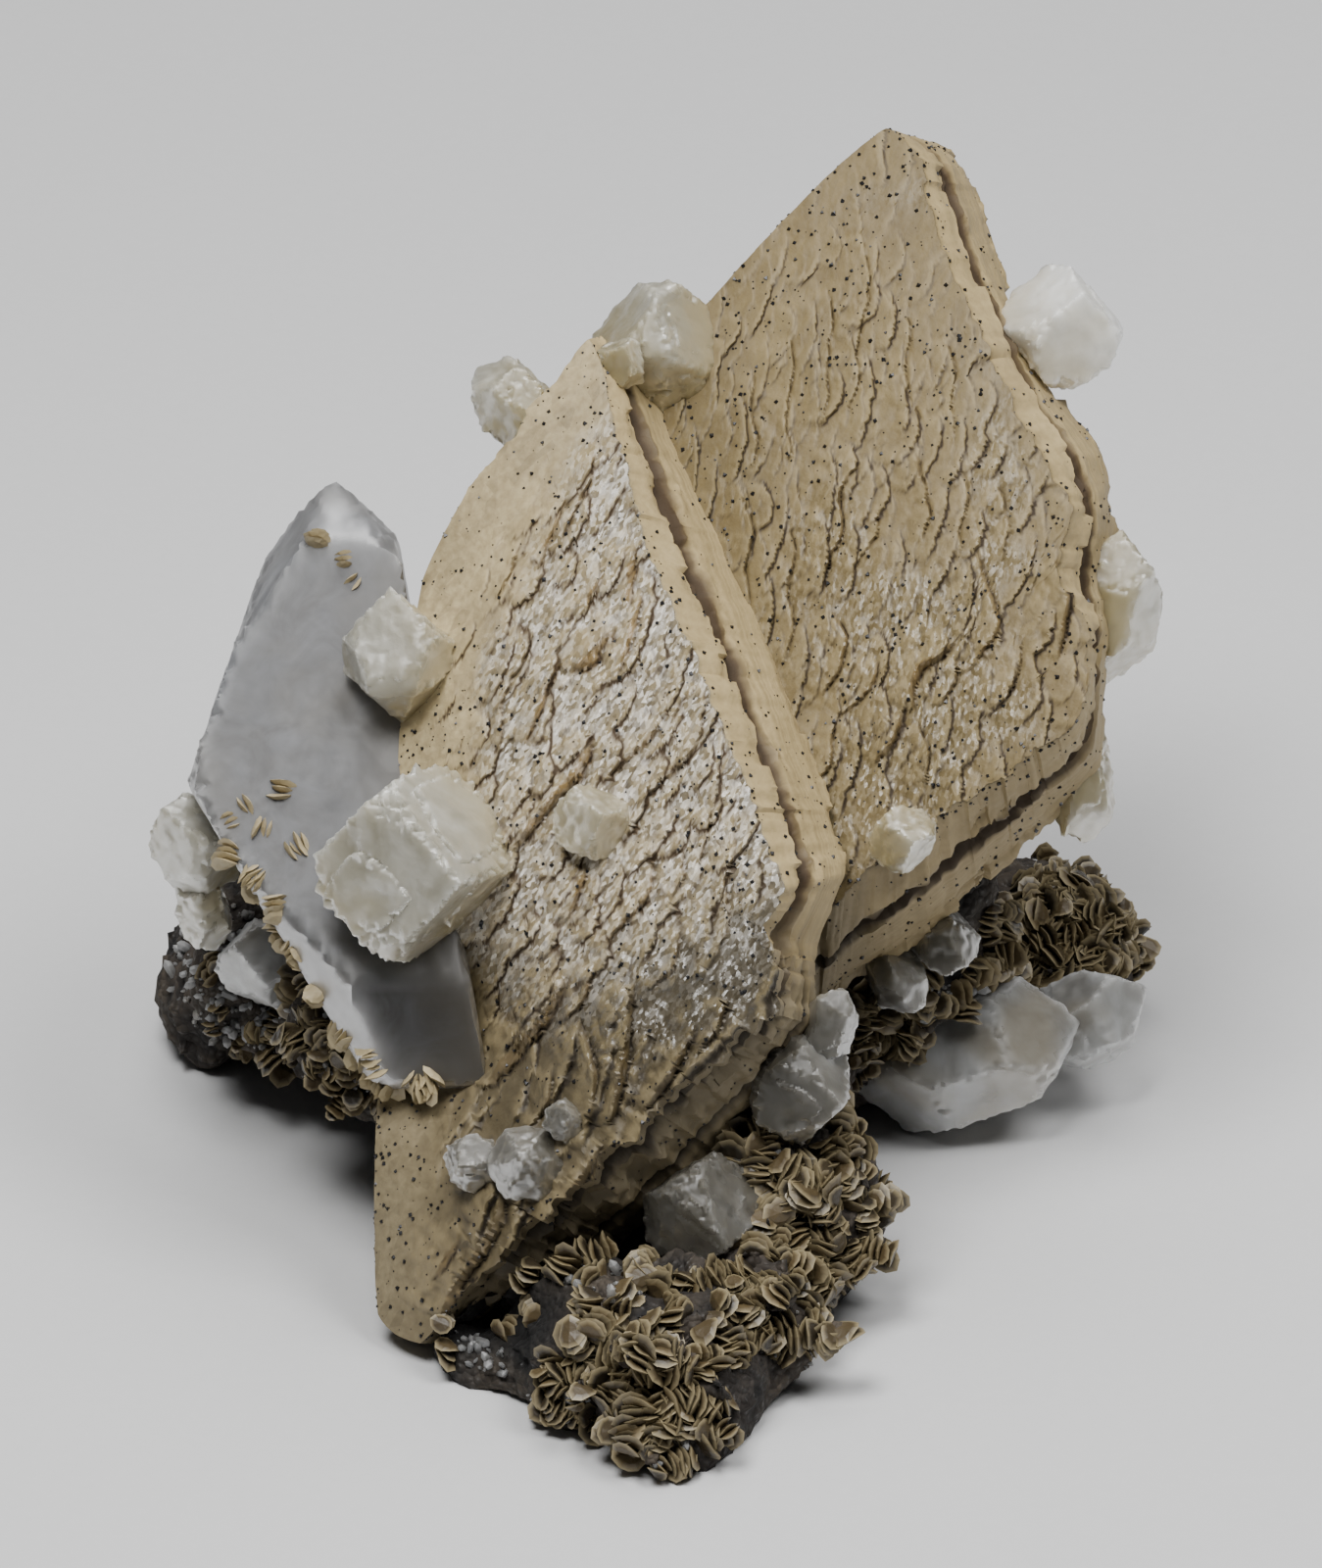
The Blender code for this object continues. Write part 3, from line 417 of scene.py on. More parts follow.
def raggedOutline(plan, where):
    # the face's outline with its broken edge: steps of a few mm and finer nicks, pushed out or in
    path = closedCurve(plan["face"], where)
    ahead = closedCurve(plan["face"], where + 0.02) - closedCurve(plan["face"], where - 0.02)
    ahead /= np.linalg.norm(ahead, axis=1, keepdims=True)
    outward = np.stack([-ahead[:, 1], ahead[:, 0]], -1)
    cell = np.floor(path.sum(-1) / 1.7 + noise(path, 4.0, plan["seed"] + 2)).astype(np.int64)
    push = 0.5 * (randomAt(cell[:, None], plan["seed"] + 21) - 0.6)
    push = push + 0.24 * noise(path, 0.8, plan["seed"] + 22) + 0.1 * noise(path, 0.35, plan["seed"] + 23)
    push = push * plan["open"](path[:, 0], path[:, 1]) * (1 + 0.8 * (path[:, 1] < -8))
    corner = np.array([c + k for c in plan["corners"].values() for k in (0, len(plan["face"]))])
    corner = np.abs(where[:, None] - corner)
    return path + outward * (push * smoothStep(0.0, 0.3, corner.min(1)))[:, None]


def rimOrder(index):
    # the border of a grid of points, once round
    return np.concatenate([index[:-1, 0], index[-1, :-1], index[1:, -1][::-1], index[0, 1:][::-1]])


def sideriteSurface(plan, cells=200, levels=42, backRings=12):
    # a rhomb: its face is a Coons patch between four sides of the outline, its sides are rings that step
    # back by the ledges and by a ragged amount for each thin lamella, and rings that shrink to a point close
    # its back
    face, sheet, corners = plan["face"], plan["sheet"], plan["corners"]
    tip, right, bottom, left = (corners[name] for name in ("tip", "right", "bottom", "left"))
    whole = len(face)
    sides = [evenSteps(face, *ends, cells) for ends in
             ((left, tip + whole), (tip, right), (right, bottom), (bottom, left))]
    upper, outer, lower, inner = (raggedOutline(plan, side) for side in sides)
    s = np.linspace(0, 1, cells + 1)[:, None, None]
    t = np.linspace(0, 1, cells + 1)[None, :, None]
    patch = (1 - t) * upper[:, None] + t * lower[::-1][:, None]
    patch = patch + (1 - s) * inner[::-1][None] + s * outer[None]
    patch = patch - (1 - s) * (1 - t) * upper[0] - s * (1 - t) * upper[-1]
    patch = patch - (1 - s) * t * lower[-1] - s * t * lower[0]
    x, y = patch[..., 0], patch[..., 1]
    relief, tone = shingles(x, y, plan)
    relief, inSlabs = relief * plan["weight"](x, y), np.zeros_like(relief)
    if plan["slabs"]:
        broken, brokenTone = shingles(x, y, {**plan, **plan["slabs"]})
        inSlabs = plan["broken"](x, y)
        broken = spread(broken, 1, lambda a, b: 0.5 * a + 0.5 * b)
        relief, tone = relief * (1 - inSlabs) + broken * inSlabs, tone * (1 - inSlabs) + brokenTone * inSlabs
    # painted shadow: the hollow mark is the drop below each plate's edge and the foot of each broken step, which
    # the colour darkens as shade
    gap = spread(relief, 1, np.maximum) - relief - 0.05 - 0.08 * inSlabs
    gap = np.clip(gap / (0.16 + 0.10 * inSlabs), 0, 1)
    large, slope, foot = brokenSteps(x, y, plan)
    relief = relief + large + 0.05 * roughness(patch, 2.6, 2, plan["seed"])
    hollow = np.maximum(gap * 0.8, foot)
    near = sheetNear(sheet, x, y) + relief - 0.25 * foot
    points = [onStage(x, y, near).reshape(-1, 3)]
    n = cells + 1
    rim = rimOrder(np.arange(n * n).reshape(n, n))
    places = np.concatenate([sides[0][:-1], sides[1][:-1], sides[2][:-1], sides[3][:-1]])
    count = len(rim)

    front, behind = raggedOutline(plan, places), closedCurve(plan["back"], places)
    step = np.roll(front, -1, 0) - np.roll(front, 1, 0)
    step = step + np.roll(step, 3, 0) + np.roll(step, -3, 0)
    outward = np.stack([-step[:, 1], step[:, 0]], -1)
    outward /= np.linalg.norm(outward, axis=1, keepdims=True)
    run = np.cumsum(np.hypot(*(np.roll(front, -1, 0) - front).T))
    reliefAtRim = (relief - 0.25 * foot).reshape(-1)[rim]
    opened = plan["open"](front[:, 0], front[:, 1])
    level = np.concatenate([[0.010, 0.022], np.linspace(0.04, 1.0, levels - 2)])[:, None]
    runs = np.broadcast_to(run, (levels, count))
    top = np.stack([run, np.full(count, 100 * level[0, 0])], -1)[None]
    wobble = 0.030 * noise(top, 5.0, plan["seed"] + 3) + 0.012 * noise(top, 1.3, plan["seed"] + 4)
    place = level + wobble * smoothStep(0.1, 0.2, level)
    low = smoothStep(*plan["ledges"]["split"][::-1], front[:, 1])
    high, deep = (np.array(plan["ledges"][name]).T for name in ("upper", "lower"))
    share, inset, stain = (
        np.interp(place, high[0], high[k]) * (1 - low) + np.interp(place, deep[0], deep[k]) * low
        for k in (1, 2, 3))
    share = level * (1 - opened) + share * opened
    inset, stain = inset * opened, stain * opened
    bites, nicks = (
        randomAt(np.floor(run / long + 0.8 * noise(run[:, None], 6.0, k)).astype(np.int64)[:, None],
                 plan["seed"] + seed) ** 2
        for long, k, seed in ((2.3, 5, 31), (3.1, 8, 37)))
    bitten = 0.75 * bites * smoothStep(0.08, 0.16, level) * (level < 0.28)
    bitten = bitten + 0.9 * nicks * smoothStep(0.62, 0.80, level)
    sheetOf = np.floor(level * 26 + 2.2 * noise(top, 11.0, plan["seed"] + 6))
    lamella = np.stack([runs, sheetOf * 37.0], -1)
    ragged = 0.28 * noise(lamella, 2.4, plan["seed"] + 7) + 0.16 * noise(lamella, 0.7, plan["seed"] + 8)
    calm = np.interp(level, (0.0, 0.05, 0.18, 0.24, 0.40, 0.46, 0.7, 0.8, 1.0),
                     (0.1, 0.1, 0.2, 1.0, 0.9, 0.12, 0.2, 0.8, 1.0)) * (1 + low)
    inset = inset + (ragged * calm + bitten * opened) + 0.04 * (level == 0.010)
    spot = front[None] * (1 - share[..., None]) + behind[None] * share[..., None]
    spot = spot - outward[None] * inset[..., None]
    atFront = spot - (behind - front)[None] * share[..., None]
    depth = sheetNear(sheet, atFront[..., 0], atFront[..., 1]) - plan["depth"] * level
    depth = depth + reliefAtRim * np.clip(1 - level / 0.05, 0, 1)
    points.append(onStage(spot[..., 0], spot[..., 1], depth).reshape(-1, 3))

    middle = behind.mean(0)
    shrink = np.linspace(1, 0.06, backRings + 1)[1:, None, None]
    under = middle + (spot[-1][None] - middle) * shrink
    sheared = under - (behind - front).mean(0)
    backRelief = shingles(under[..., 0], under[..., 1], {**plan, "seed": plan["seed"] + 40})[0] * 2
    depthBehind = sheetNear(sheet, sheared[..., 0], sheared[..., 1]) - plan["depth"]
    edgeDepth = depth[-1] - (sheetNear(sheet, *(spot[-1] - (behind - front).mean(0)).T) - plan["depth"])
    depthBehind = depthBehind + edgeDepth * shrink[..., 0] ** 3 - backRelief * (1 - shrink[..., 0] ** 6)
    points.append(onStage(under[..., 0], under[..., 1], depthBehind).reshape(-1, 3))
    points.append(points[-1][-count:].mean(0, keepdims=True))
    points = np.concatenate(points)

    def ringIndex(row):
        return rim if row == 0 else n * n + (row - 1) * count + np.arange(count)

    faces = [gridFaces(n, n)[:, ::-1]]
    rows = levels + backRings + 1
    for row in range(rows - 1):
        a, b = ringIndex(row), ringIndex(row + 1)
        faces.append(np.stack([a, b, np.roll(b, -1), np.roll(a, -1)], -1)[:, ::-1])
    last = ringIndex(rows - 1)
    faces.append(np.stack([last, np.full(count, len(points) - 1), np.roll(last, -1)], -1)[:, ::-1])

    sideLevel = np.broadcast_to(level, (levels, count))
    drop = relief - spread(relief, 2, np.minimum) - 0.25 * inSlabs
    # painted shade on the lower sides, which face down; on the rear most where it lies beside the front siderite
    shaded = low * (0.3 + 0.6 * smoothStep(*plan["ledges"]["shaded"], front[:, 0]))
    back = np.zeros((backRings, count))
    along, over = (np.concatenate([np.ravel(a), np.ravel(b), np.ravel(c), [0.0]]) for a, b, c in zip(
        alongGrain(x, y, plan), (runs, sideLevel * plan["depth"]),
        alongGrain(under[..., 0], under[..., 1], plan)))
    marks = {
        # painted shadow below the plates' edges, and painted shade with brown stain in the side grooves
        "hollow": [hollow, stain, back + 0.15, [0.15]],
        "edge": [np.clip(drop / 0.22, 0, 1) * (1 - slope), 0.35 + 0 * sideLevel, back, [0.0]],
        "slope": [slope, 0 * sideLevel, back, [0.0]],
        "band": [np.zeros((n, n)), np.clip((sideLevel - 0.005) / 0.02, 0, 1), back + 0.7, [0.7]],
        "pearl": [plan["pearl"](x, y), 0 * sideLevel, back + 0.1, [0.1]],
        "tone": [tone, 0.5 * noise(lamella, 6.0, plan["seed"] + 9), back, [0.0]],
        "level": [np.zeros((n, n)), sideLevel, back + 1, [1.0]],
        # a brown tint with painted shade: darker towards the front's foot and in the rear's corner beside the
        # front siderite
        "warm": [plan["warm"](x, y), plan["warm"](spot[..., 0], spot[..., 1]) * (1 - 0.8 * low), back + 1,
                 [1.0]],
        # painted shade on the face as the plan's function says, and on the lower sides as shaded says
        "dull": [plan["dull"](x, y), shaded + 0 * sideLevel, back + 1, [1.0]],
    }
    marks = {name: np.concatenate([np.ravel(part) for part in parts]) for name, parts in marks.items()}
    return points, faces, {**marks, "along": along, "across": over}


def spread(field, reach, pick):
    # joins each cell of a grid with its neighbours within reach: with np.maximum the largest value there, with
    # np.minimum the smallest, with a mean a blur
    for _ in range(reach):
        for _ in range(2):
            wide = np.concatenate([field[:1], field, field[-1:]])
            field = pick(field, pick(wide[2:], wide[:-2])).T
    return field


def frontWeight(x, y):
    # the plates fade out on the smooth left margin and on the lower left foot
    left = np.interp(y, (-40, -26, -20, -10, 0, 8.4, 18.6, 28.8),
                     (-10, -12, -16, -17, -17.5, -16.5, -13, -5.5))
    return 0.06 + 0.94 * smoothStep(-1.0, 4.0, x - left)


def frontPearl(x, y):
    # the silvery middle: right of the smooth margin and above a line near the foot
    left = np.interp(y, (-26, -20, -10, 0, 8.4, 18.6, 28.8), (2, -11, -16, -16.5, -15.0, -11.5, -4.5))
    foot = np.interp(x, (-16, -2, 9), (-16, -22, -16))
    patchy = 2.2 * noise(np.stack([x, y], -1), 5.0, 71)
    return smoothStep(-0.5, 3.5, x - left + patchy) * smoothStep(-1.5, 2.5, y - foot + patchy)


def rearWeight(x, y):
    # fainter towards the tip
    return 0.45 + 0.55 * smoothStep(44, 30, y)


def rearPearl(x, y):
    # patches of silver in the middle and lower part of the rear face
    patchy = noise(np.stack([x, y], -1), 6.5, 83) + 0.5 * noise(np.stack([x, y], -1), 2.5, 84)
    here = np.exp(-(((x - 18) / 12) ** 2 + ((y - 8) / 16) ** 2))
    return 0.85 * smoothStep(0.15, 0.9, here + 0.45 * patchy)


def frontBrownAndShade(x, y):
    # browner and darker towards the foot and the lower right side: a brown tint with painted shade
    wander = 1.5 * noise(np.stack([x, y], -1), 6.0, 12)
    return 0.45 * smoothStep(-13.0, -27.0, y + wander) * smoothStep(-20, -12, x)


def rearBrownAndShade(x, y):
    # brown nearly everywhere, with painted shade that makes it darkest in the corner beside the front siderite
    return 0.85 + 0.15 * smoothStep(12.0, 5.0, x + 0.2 * (y - 10))


def frontPaintedShade(x, y):
    # painted shade: greyer and darker towards the broken lower end, except on the foot at the left
    return smoothStep(-8.0, -19.0, y - 0.5 * (x + 5)) * (0.6 + 0.4 * smoothStep(-18.0, -12.0, x))


def rearPaintedShade(x, y):
    # painted shade: a little all over, most in the corner beside the front siderite
    return 0.5 + 0.3 * smoothStep(14.0, 4.0, x + 0.2 * (y - 10)) + 0.06 * noise(np.stack([x, y], -1), 4.0, 91)


def frontBroken(x, y):
    # the plates are broken into long slabs over the lower end, but not on the foot at the left
    wander = 1.5 * noise(np.stack([x, y], -1), 5.0, 14)
    return smoothStep(-11.0, -17.0, y - 0.5 * (x + 5) + wander) * smoothStep(-17.5, -13.0, x)


def frontOpen(x, y):
    # the ledges open along the two right sides and close up on the left
    return 0.05 + 0.95 * smoothStep(-16.0, -9.0, x) * smoothStep(34.5, 28.0, y)


def rearOpen(x, y):
    return 0.1 + 0.9 * smoothStep(8.0, 14.0, x - 0.15 * y)


frontSiderite.update(weight=frontWeight, pearl=frontPearl, open=frontOpen, warm=frontBrownAndShade, dull=frontPaintedShade,
                     broken=frontBroken)
rearSiderite.update(weight=rearWeight, pearl=rearPearl, open=rearOpen, warm=rearBrownAndShade, dull=rearPaintedShade)


# Quartz. Each piece is one or more crystals: middle (right, up, near), the way its point looks, its radius,
# how far point and foot reach, a seed, how flat it is, how much three end faces outgrow the others, and how
# ragged it is.
quartzWhite = {
    "quartz_left_white": [((-17.6, -4.8, 10.0), (0.45, -0.2, 0.87), 8.3, 9.8, 9.4, 3, 1.0, 0.16, 0.9)],
    "quartz_left_edge": [((-18.8, 10.5, 2.2), (-0.1, 0.9, 0.4), 4.0, 6.4, 6.4, 5, 1.0, 0.1, 0.45)],
    "quartz_front_face": [((-4.6, -1.8, 12.4), (0.25, 0.2, 0.95), 3.2, 4.2, 3.4, 7, 1.0, 0.12, 0.35)],
    "quartz_rear_face": [((18.4, -2.9, 6.8), (0.3, -0.1, 0.95), 2.8, 3.5, 3.0, 11, 1.0, 0.12, 0.3)],
    "quartz_top": [((0.2, 33.4, -9.0), (0.95, 0.25, -0.2), 4.8, 7.2, 7.2, 17, 1.0, 0.14, 0.5),
                   ((-2.4, 32.6, -3.6), (0.1, 0.5, 0.86), 1.8, 2.6, 3.4, 13, 1.0, 0.1, 0.3)],
    "quartz_left_shoulder": [((-10.2, 29.2, -7.0), (-0.62, 0.6, -0.3), 3.4, 5.4, 6.5, 19, 0.7, 0.12, 0.5)],
    "quartz_right_top": [((30.6, 35.2, -9.0), (0.3, 0.5, 0.8), 4.7, 6.2, 6.5, 23, 1.0, 0.16, 0.4)],
    "quartz_right_middle": [((34.0, 14.2, -5.0), (0.15, 0.95, 0.2), 3.7, 7.0, 7.0, 29, 0.9, 0.1, 0.5)],
    "quartz_right_low": [((31.4, 2.8, -5.0), (-0.15, 0.95, 0.2), 3.0, 7.0, 7.0, 31, 0.8, 0.1, 0.9)],
    "quartz_low_face": [((-9.4, -26.9, 14.0), (-0.1, 0.1, 1.0), 3.5, 3.2, 3.8, 37, 1.0, 0.0, 0.35),
                        ((-13.5, -27.0, 12.0), (-0.4, -0.1, 0.9), 2.0, 2.8, 2.8, 41, 1.0, 0.1, 0.3),
                        ((-6.5, -23.8, 14.6), (0.2, 0.2, 0.95), 1.5, 2.2, 2.2, 43, 1.0, 0.1, 0.2)],
    "quartz_corner": [((11.0, -21.4, 8.6), (0.6, -0.3, 0.7), 4.0, 5.4, 5.6, 47, 1.0, 0.1, 0.5),
                      ((12.9, -17.4, 9.2), (0.3, 0.9, 0.4), 1.9, 4.6, 3.4, 53, 0.9, 0.1, 0.3)],
    "quartz_under_front": [((3.6, -30.4, 8.4), (0.35, -0.5, 0.75), 4.6, 6.0, 5.6, 59, 0.9, 0.1, 0.6)],
    "quartz_under_rear": [((21.4, -10.2, -7.4), (0.5, -0.55, 0.6), 2.9, 4.6, 4.6, 67, 0.7, 0.1, 0.4),
                          ((17.8, -12.6, -7.2), (0.4, -0.8, 0.4), 2.4, 4.8, 4.2, 71, 0.8, 0.1, 0.3)],
    "quartz_left_foot": [((-34.2, -3.2, -7.0), (-0.5, 0.45, 0.5), 3.6, 5.2, 6.0, 73, 0.9, 0.12, 0.5),
                         ((-33.8, -8.0, -9.0), (-0.2, 0.9, 0.4), 2.0, 4.2, 4.4, 97, 0.9, 0.1, 0.5)],
}
quartzGrey = {
    "quartz_right_base": [((23.6, -19.3, -20.5), (0.93, 0.3, 0.1), 5.4, 10.5, 10.5, 61, 0.9, 0.12, 0.3),
                          ((32.4, -16.6, -23.0), (0.8, 0.4, 0.2), 3.6, 6.4, 6.0, 62, 0.9, 0.12, 0.3)],
    "quartz_left_rock": [((-29.0, -12.4, -15.0), (-0.5, 0.25, 0.75), 3.8, 5.6, 5.0, 79, 0.8, 0.1, 0.3)],
}
# The large tabular crystal: its faces as (right, up, near) directions and distances from its middle, and
# tones, painted light and shade that make each face paler or darker.
quartzTabular = {
    "middle": (-24.2, 1.1, -3.0),
    "faces": [((-0.95, 0.312, 0.0), 10.0), ((-0.853, -0.521, 0.0), 9.0), ((0.0, -1.0, 0.0), 22.6),
              ((0.986, 0.167, 0.0), 8.1), ((-0.74, 0.68, 0.0), 15.9), ((0.69, 0.72, 0.0), 16.85),
              ((0.0, 0.371, 0.928), 5.6), ((0.0, 0.8, 0.6), 13.9), ((-0.709, 0.611, 0.35), 12.0),
              ((0.562, 0.75, 0.35), 15.24), ((-0.82, 0.22, 0.53), 11.2), ((-0.7, -0.42, 0.58), 12.0),
              ((0.0, -0.196, 0.98), 14.5), ((0.35, 0.36, 0.866), 8.3), ((0.0, -0.371, -0.928), 6.2),
              ((-0.6, 0.3, -0.74), 12.4), ((0.1, 0.8, -0.6), 23.0), ((-0.5, -0.7, -0.5), 12.0)],
    # painted light: how much paler (above 0) or darker (below 0) each face is painted, in the order of the faces
    "tones": [0.6, 0.2, 0.0, 0.3, 0.7, 0.5, 0.0, 1.3, 0.5, 0.4, 0.5, 0.1, -0.1, -0.2, 0.0, 0.0, 0.0, 0.0],
    "ragged": (0, 0.3, 0.3, 70),  # teeth, how toothed, how chipped, how hard its edges are
    "cells": 62,
    "seed": 5,
}
rhombSlope = math.radians(38.2)  # a quartz end face leans this far in from its prism face


def unit(vectors):
    return vectors / np.linalg.norm(vectors, axis=-1, keepdims=True)


def cubeSphere(cells):
    # directions on a cube's six gridded faces, spread evenly by tan, with the seams shared
    a = np.tan(np.linspace(-math.pi / 4, math.pi / 4, cells + 1))
    u, v = (g.ravel() for g in np.meshgrid(a, a, indexing="ij"))
    one = np.ones_like(u)
    sides = [(one, u, v), (-one, v, u), (v, one, u), (u, -one, v), (u, v, one), (v, u, -one)]
    points = np.concatenate([np.stack(side, -1) for side in sides])
    faces = np.concatenate([gridFaces(cells + 1, cells + 1, k * len(u)) for k in range(6)])
    _, first, joined = np.unique(np.round(points * 1e6).astype(np.int64), axis=0, return_index=True,
                                 return_inverse=True)
    points = points[first]
    return points / np.linalg.norm(points, axis=1, keepdims=True), joined.ravel()[faces]


def quartzFaces(looks, radius, height, foot, seed, flat, rhomb):
    # prism faces round the axis and end faces leaning in at each end, unequal as real ones are
    chance = random.Random(seed)
    axis = heading(*looks)
    side = axis.orthogonal().normalized()
    side.rotate(Matrix.Rotation(chance.uniform(0, math.pi / 3), 3, axis))
    faces = []
    for i in range(6):
        outward = side.copy()
        outward.rotate(Matrix.Rotation(i * math.pi / 3, 3, axis))
        squeeze = 1 - (1 - flat) * abs(outward.dot(side))
        faces.append((outward, radius * squeeze * chance.uniform(0.88, 1.08)))
        for end, reach in ((1, height), (-1, foot)):
            leaning = outward * math.cos(rhombSlope) + axis * end * math.sin(rhombSlope)
            larger = 1 - rhomb if (i + (end < 0)) % 2 else 1 + rhomb
            faces.append((leaning, reach * math.sin(rhombSlope) * larger * chance.uniform(0.95, 1.05)))
    return faces


def crystalSurface(middle, faces, cells, ragged, seed, tones):
    # radius in direction d is the nearest face's distance / (normal · d), the nearest found with a soft
    # minimum, so that edges are only just rounded. Where smaller crystals of the same lie stand round the
    # middle, their faces' distances are scaled and moved by offset · normal, and the largest radius wins,
    # which gives the saw-toothed edges and stepped faces of crystals grown side by side
    around, quads = cubeSphere(cells)
    normals = np.array([tuple(face[0]) for face in faces])
    reach = np.array([face[1] for face in faces])
    teeth, toothed, chipped, hard = ragged
    chance = np.random.default_rng(seed)
    offsets = np.concatenate([np.zeros((1, 3)), unit(chance.normal(size=(teeth, 3)))])
    scales = np.concatenate([[1.0], chance.uniform(0.42, 0.8, teeth)])
    lean = 1 / (offsets @ normals.T / reach).max(1).clip(1e-6)
    offsets[1:] *= (lean[1:] * (1 - scales[1:]) * chance.uniform(0.95, 1.2, teeth))[:, None]
    facing = around @ normals.T
    distance, nearEdge, facet = np.zeros(len(around)), np.zeros(len(around)), np.zeros(len(around))
    for offset, scale in zip(offsets, scales):
        own = reach * scale + normals @ offset
        if own.min() < 0.02 * reach.min():
            continue
        pull = np.maximum(facing / own, 1e-4)
        peak = pull.max(1, keepdims=True)
        reached = 1 / (peak[:, 0] * ((pull / peak) ** hard).sum(1) ** (1 / hard))
        ordered = np.sort(pull, 1)
        corner = smoothStep(0.88, 1.0, ordered[:, -2] / ordered[:, -1])
        nearEdge = np.where(reached > distance, corner, nearEdge)
        facet = np.where(reached > distance, tones[pull.argmax(1)] * (1 - corner), facet)
        distance = np.maximum(distance, reached)
    spot = around * distance[:, None]
    chips = np.abs(roughness(spot, 1.3, 2, seed + 9)) + 0.8 * np.abs(noise(spot, 0.6, seed + 12))
    tooth = np.abs(noise(spot, 0.8, seed + 3)) + 0.5 * np.abs(noise(spot, 0.45, seed + 4)) - 0.3
    swell = noise(spot, 0.35 * reach.min(), seed + 5)
    change = toothed * (tooth * (0.05 + nearEdge) + 0.3 * swell) - chipped * chips * nearEdge
    spot = around * (distance + change)[:, None]
    return spot * mm + np.array(middle), quads, np.stack([nearEdge, facet], -1)


def joinSurfaces(parts):
    # several closed surfaces as one mesh: their faces' numbers are moved past the points before them
    points, faces, marks, total = [], [], [], 0
    for spot, quads, mark in parts:
        points.append(spot)
        faces.append(quads + total)
        marks.append(mark)
        total += len(spot)
    return np.concatenate(points), [np.concatenate(faces)], np.concatenate(marks)


def touchMark(points, neighbour):
    # 1 where the surface lies on its neighbour, 0 from 7 mm away
    reach = np.array([neighbour.find_nearest(point)[3] for point in points.tolist()]) / mm
    return {"touch": smoothStep(7.0, 0.0, reach)}


def growQuartz(name, crystals, finish, neighbour):
    parts = []
    for place, looks, radius, height, foot, seed, flat, rhomb, ragged in crystals:
        faces = quartzFaces(looks, radius, height, foot, seed, flat, rhomb)
        cells = int(np.clip(radius * 8.5, 20, 62))
        look = (int(16 * ragged), 0.2 + 0.5 * ragged, 0.2 * ragged, 24)
        tones = np.random.default_rng(seed).uniform(-0.5, 0.5, len(faces))
        parts.append(crystalSurface(onStage(*place), faces, cells, look, seed, tones))
    for spot, _, _ in parts:
        spot[:, 2] = np.maximum(spot[:, 2], 0.6 * mm)
    points, faces, looks = joinSurfaces(parts)
    marks = {"edge": looks[:, 0], "facet": looks[:, 1], **touchMark(points, neighbour)}
    return addPiece(name + "_crystals", points, faces, finish, [name], marks, sharp=32)


def growTabularQuartz(finish, neighbour):
    faces = [(np.array(heading(*outward)), distance) for outward, distance in quartzTabular["faces"]]
    middle = onStage(*quartzTabular["middle"])
    cells, ragged, seed = (quartzTabular[name] for name in ("cells", "ragged", "seed"))
    spot, quads, looks = crystalSurface(middle, faces, cells, ragged, seed, np.array(quartzTabular["tones"]))
    marks = {"edge": looks[:, 0], "facet": looks[:, 1], **touchMark(spot, neighbour)}
    return addPiece("quartz_left_large_crystal", spot, [quads], finish, ["quartz_left_large"],
                    marks, sharp=32)


# The rock: the imported rock's own form, melted together and roughened into grains.
# the hollow is pushed in and also painted black with shade by the rock's painted-shade mark
rockPlan = {"voxel": 0.65, "broad": (5.0, 0.45), "grain": (0.9, 0.5), "seed": 61,
            "hollow": ((-11.0, -38.6), (4.2, 3.2), 5.0)}  # a black hollow under the foot: place, size, depth


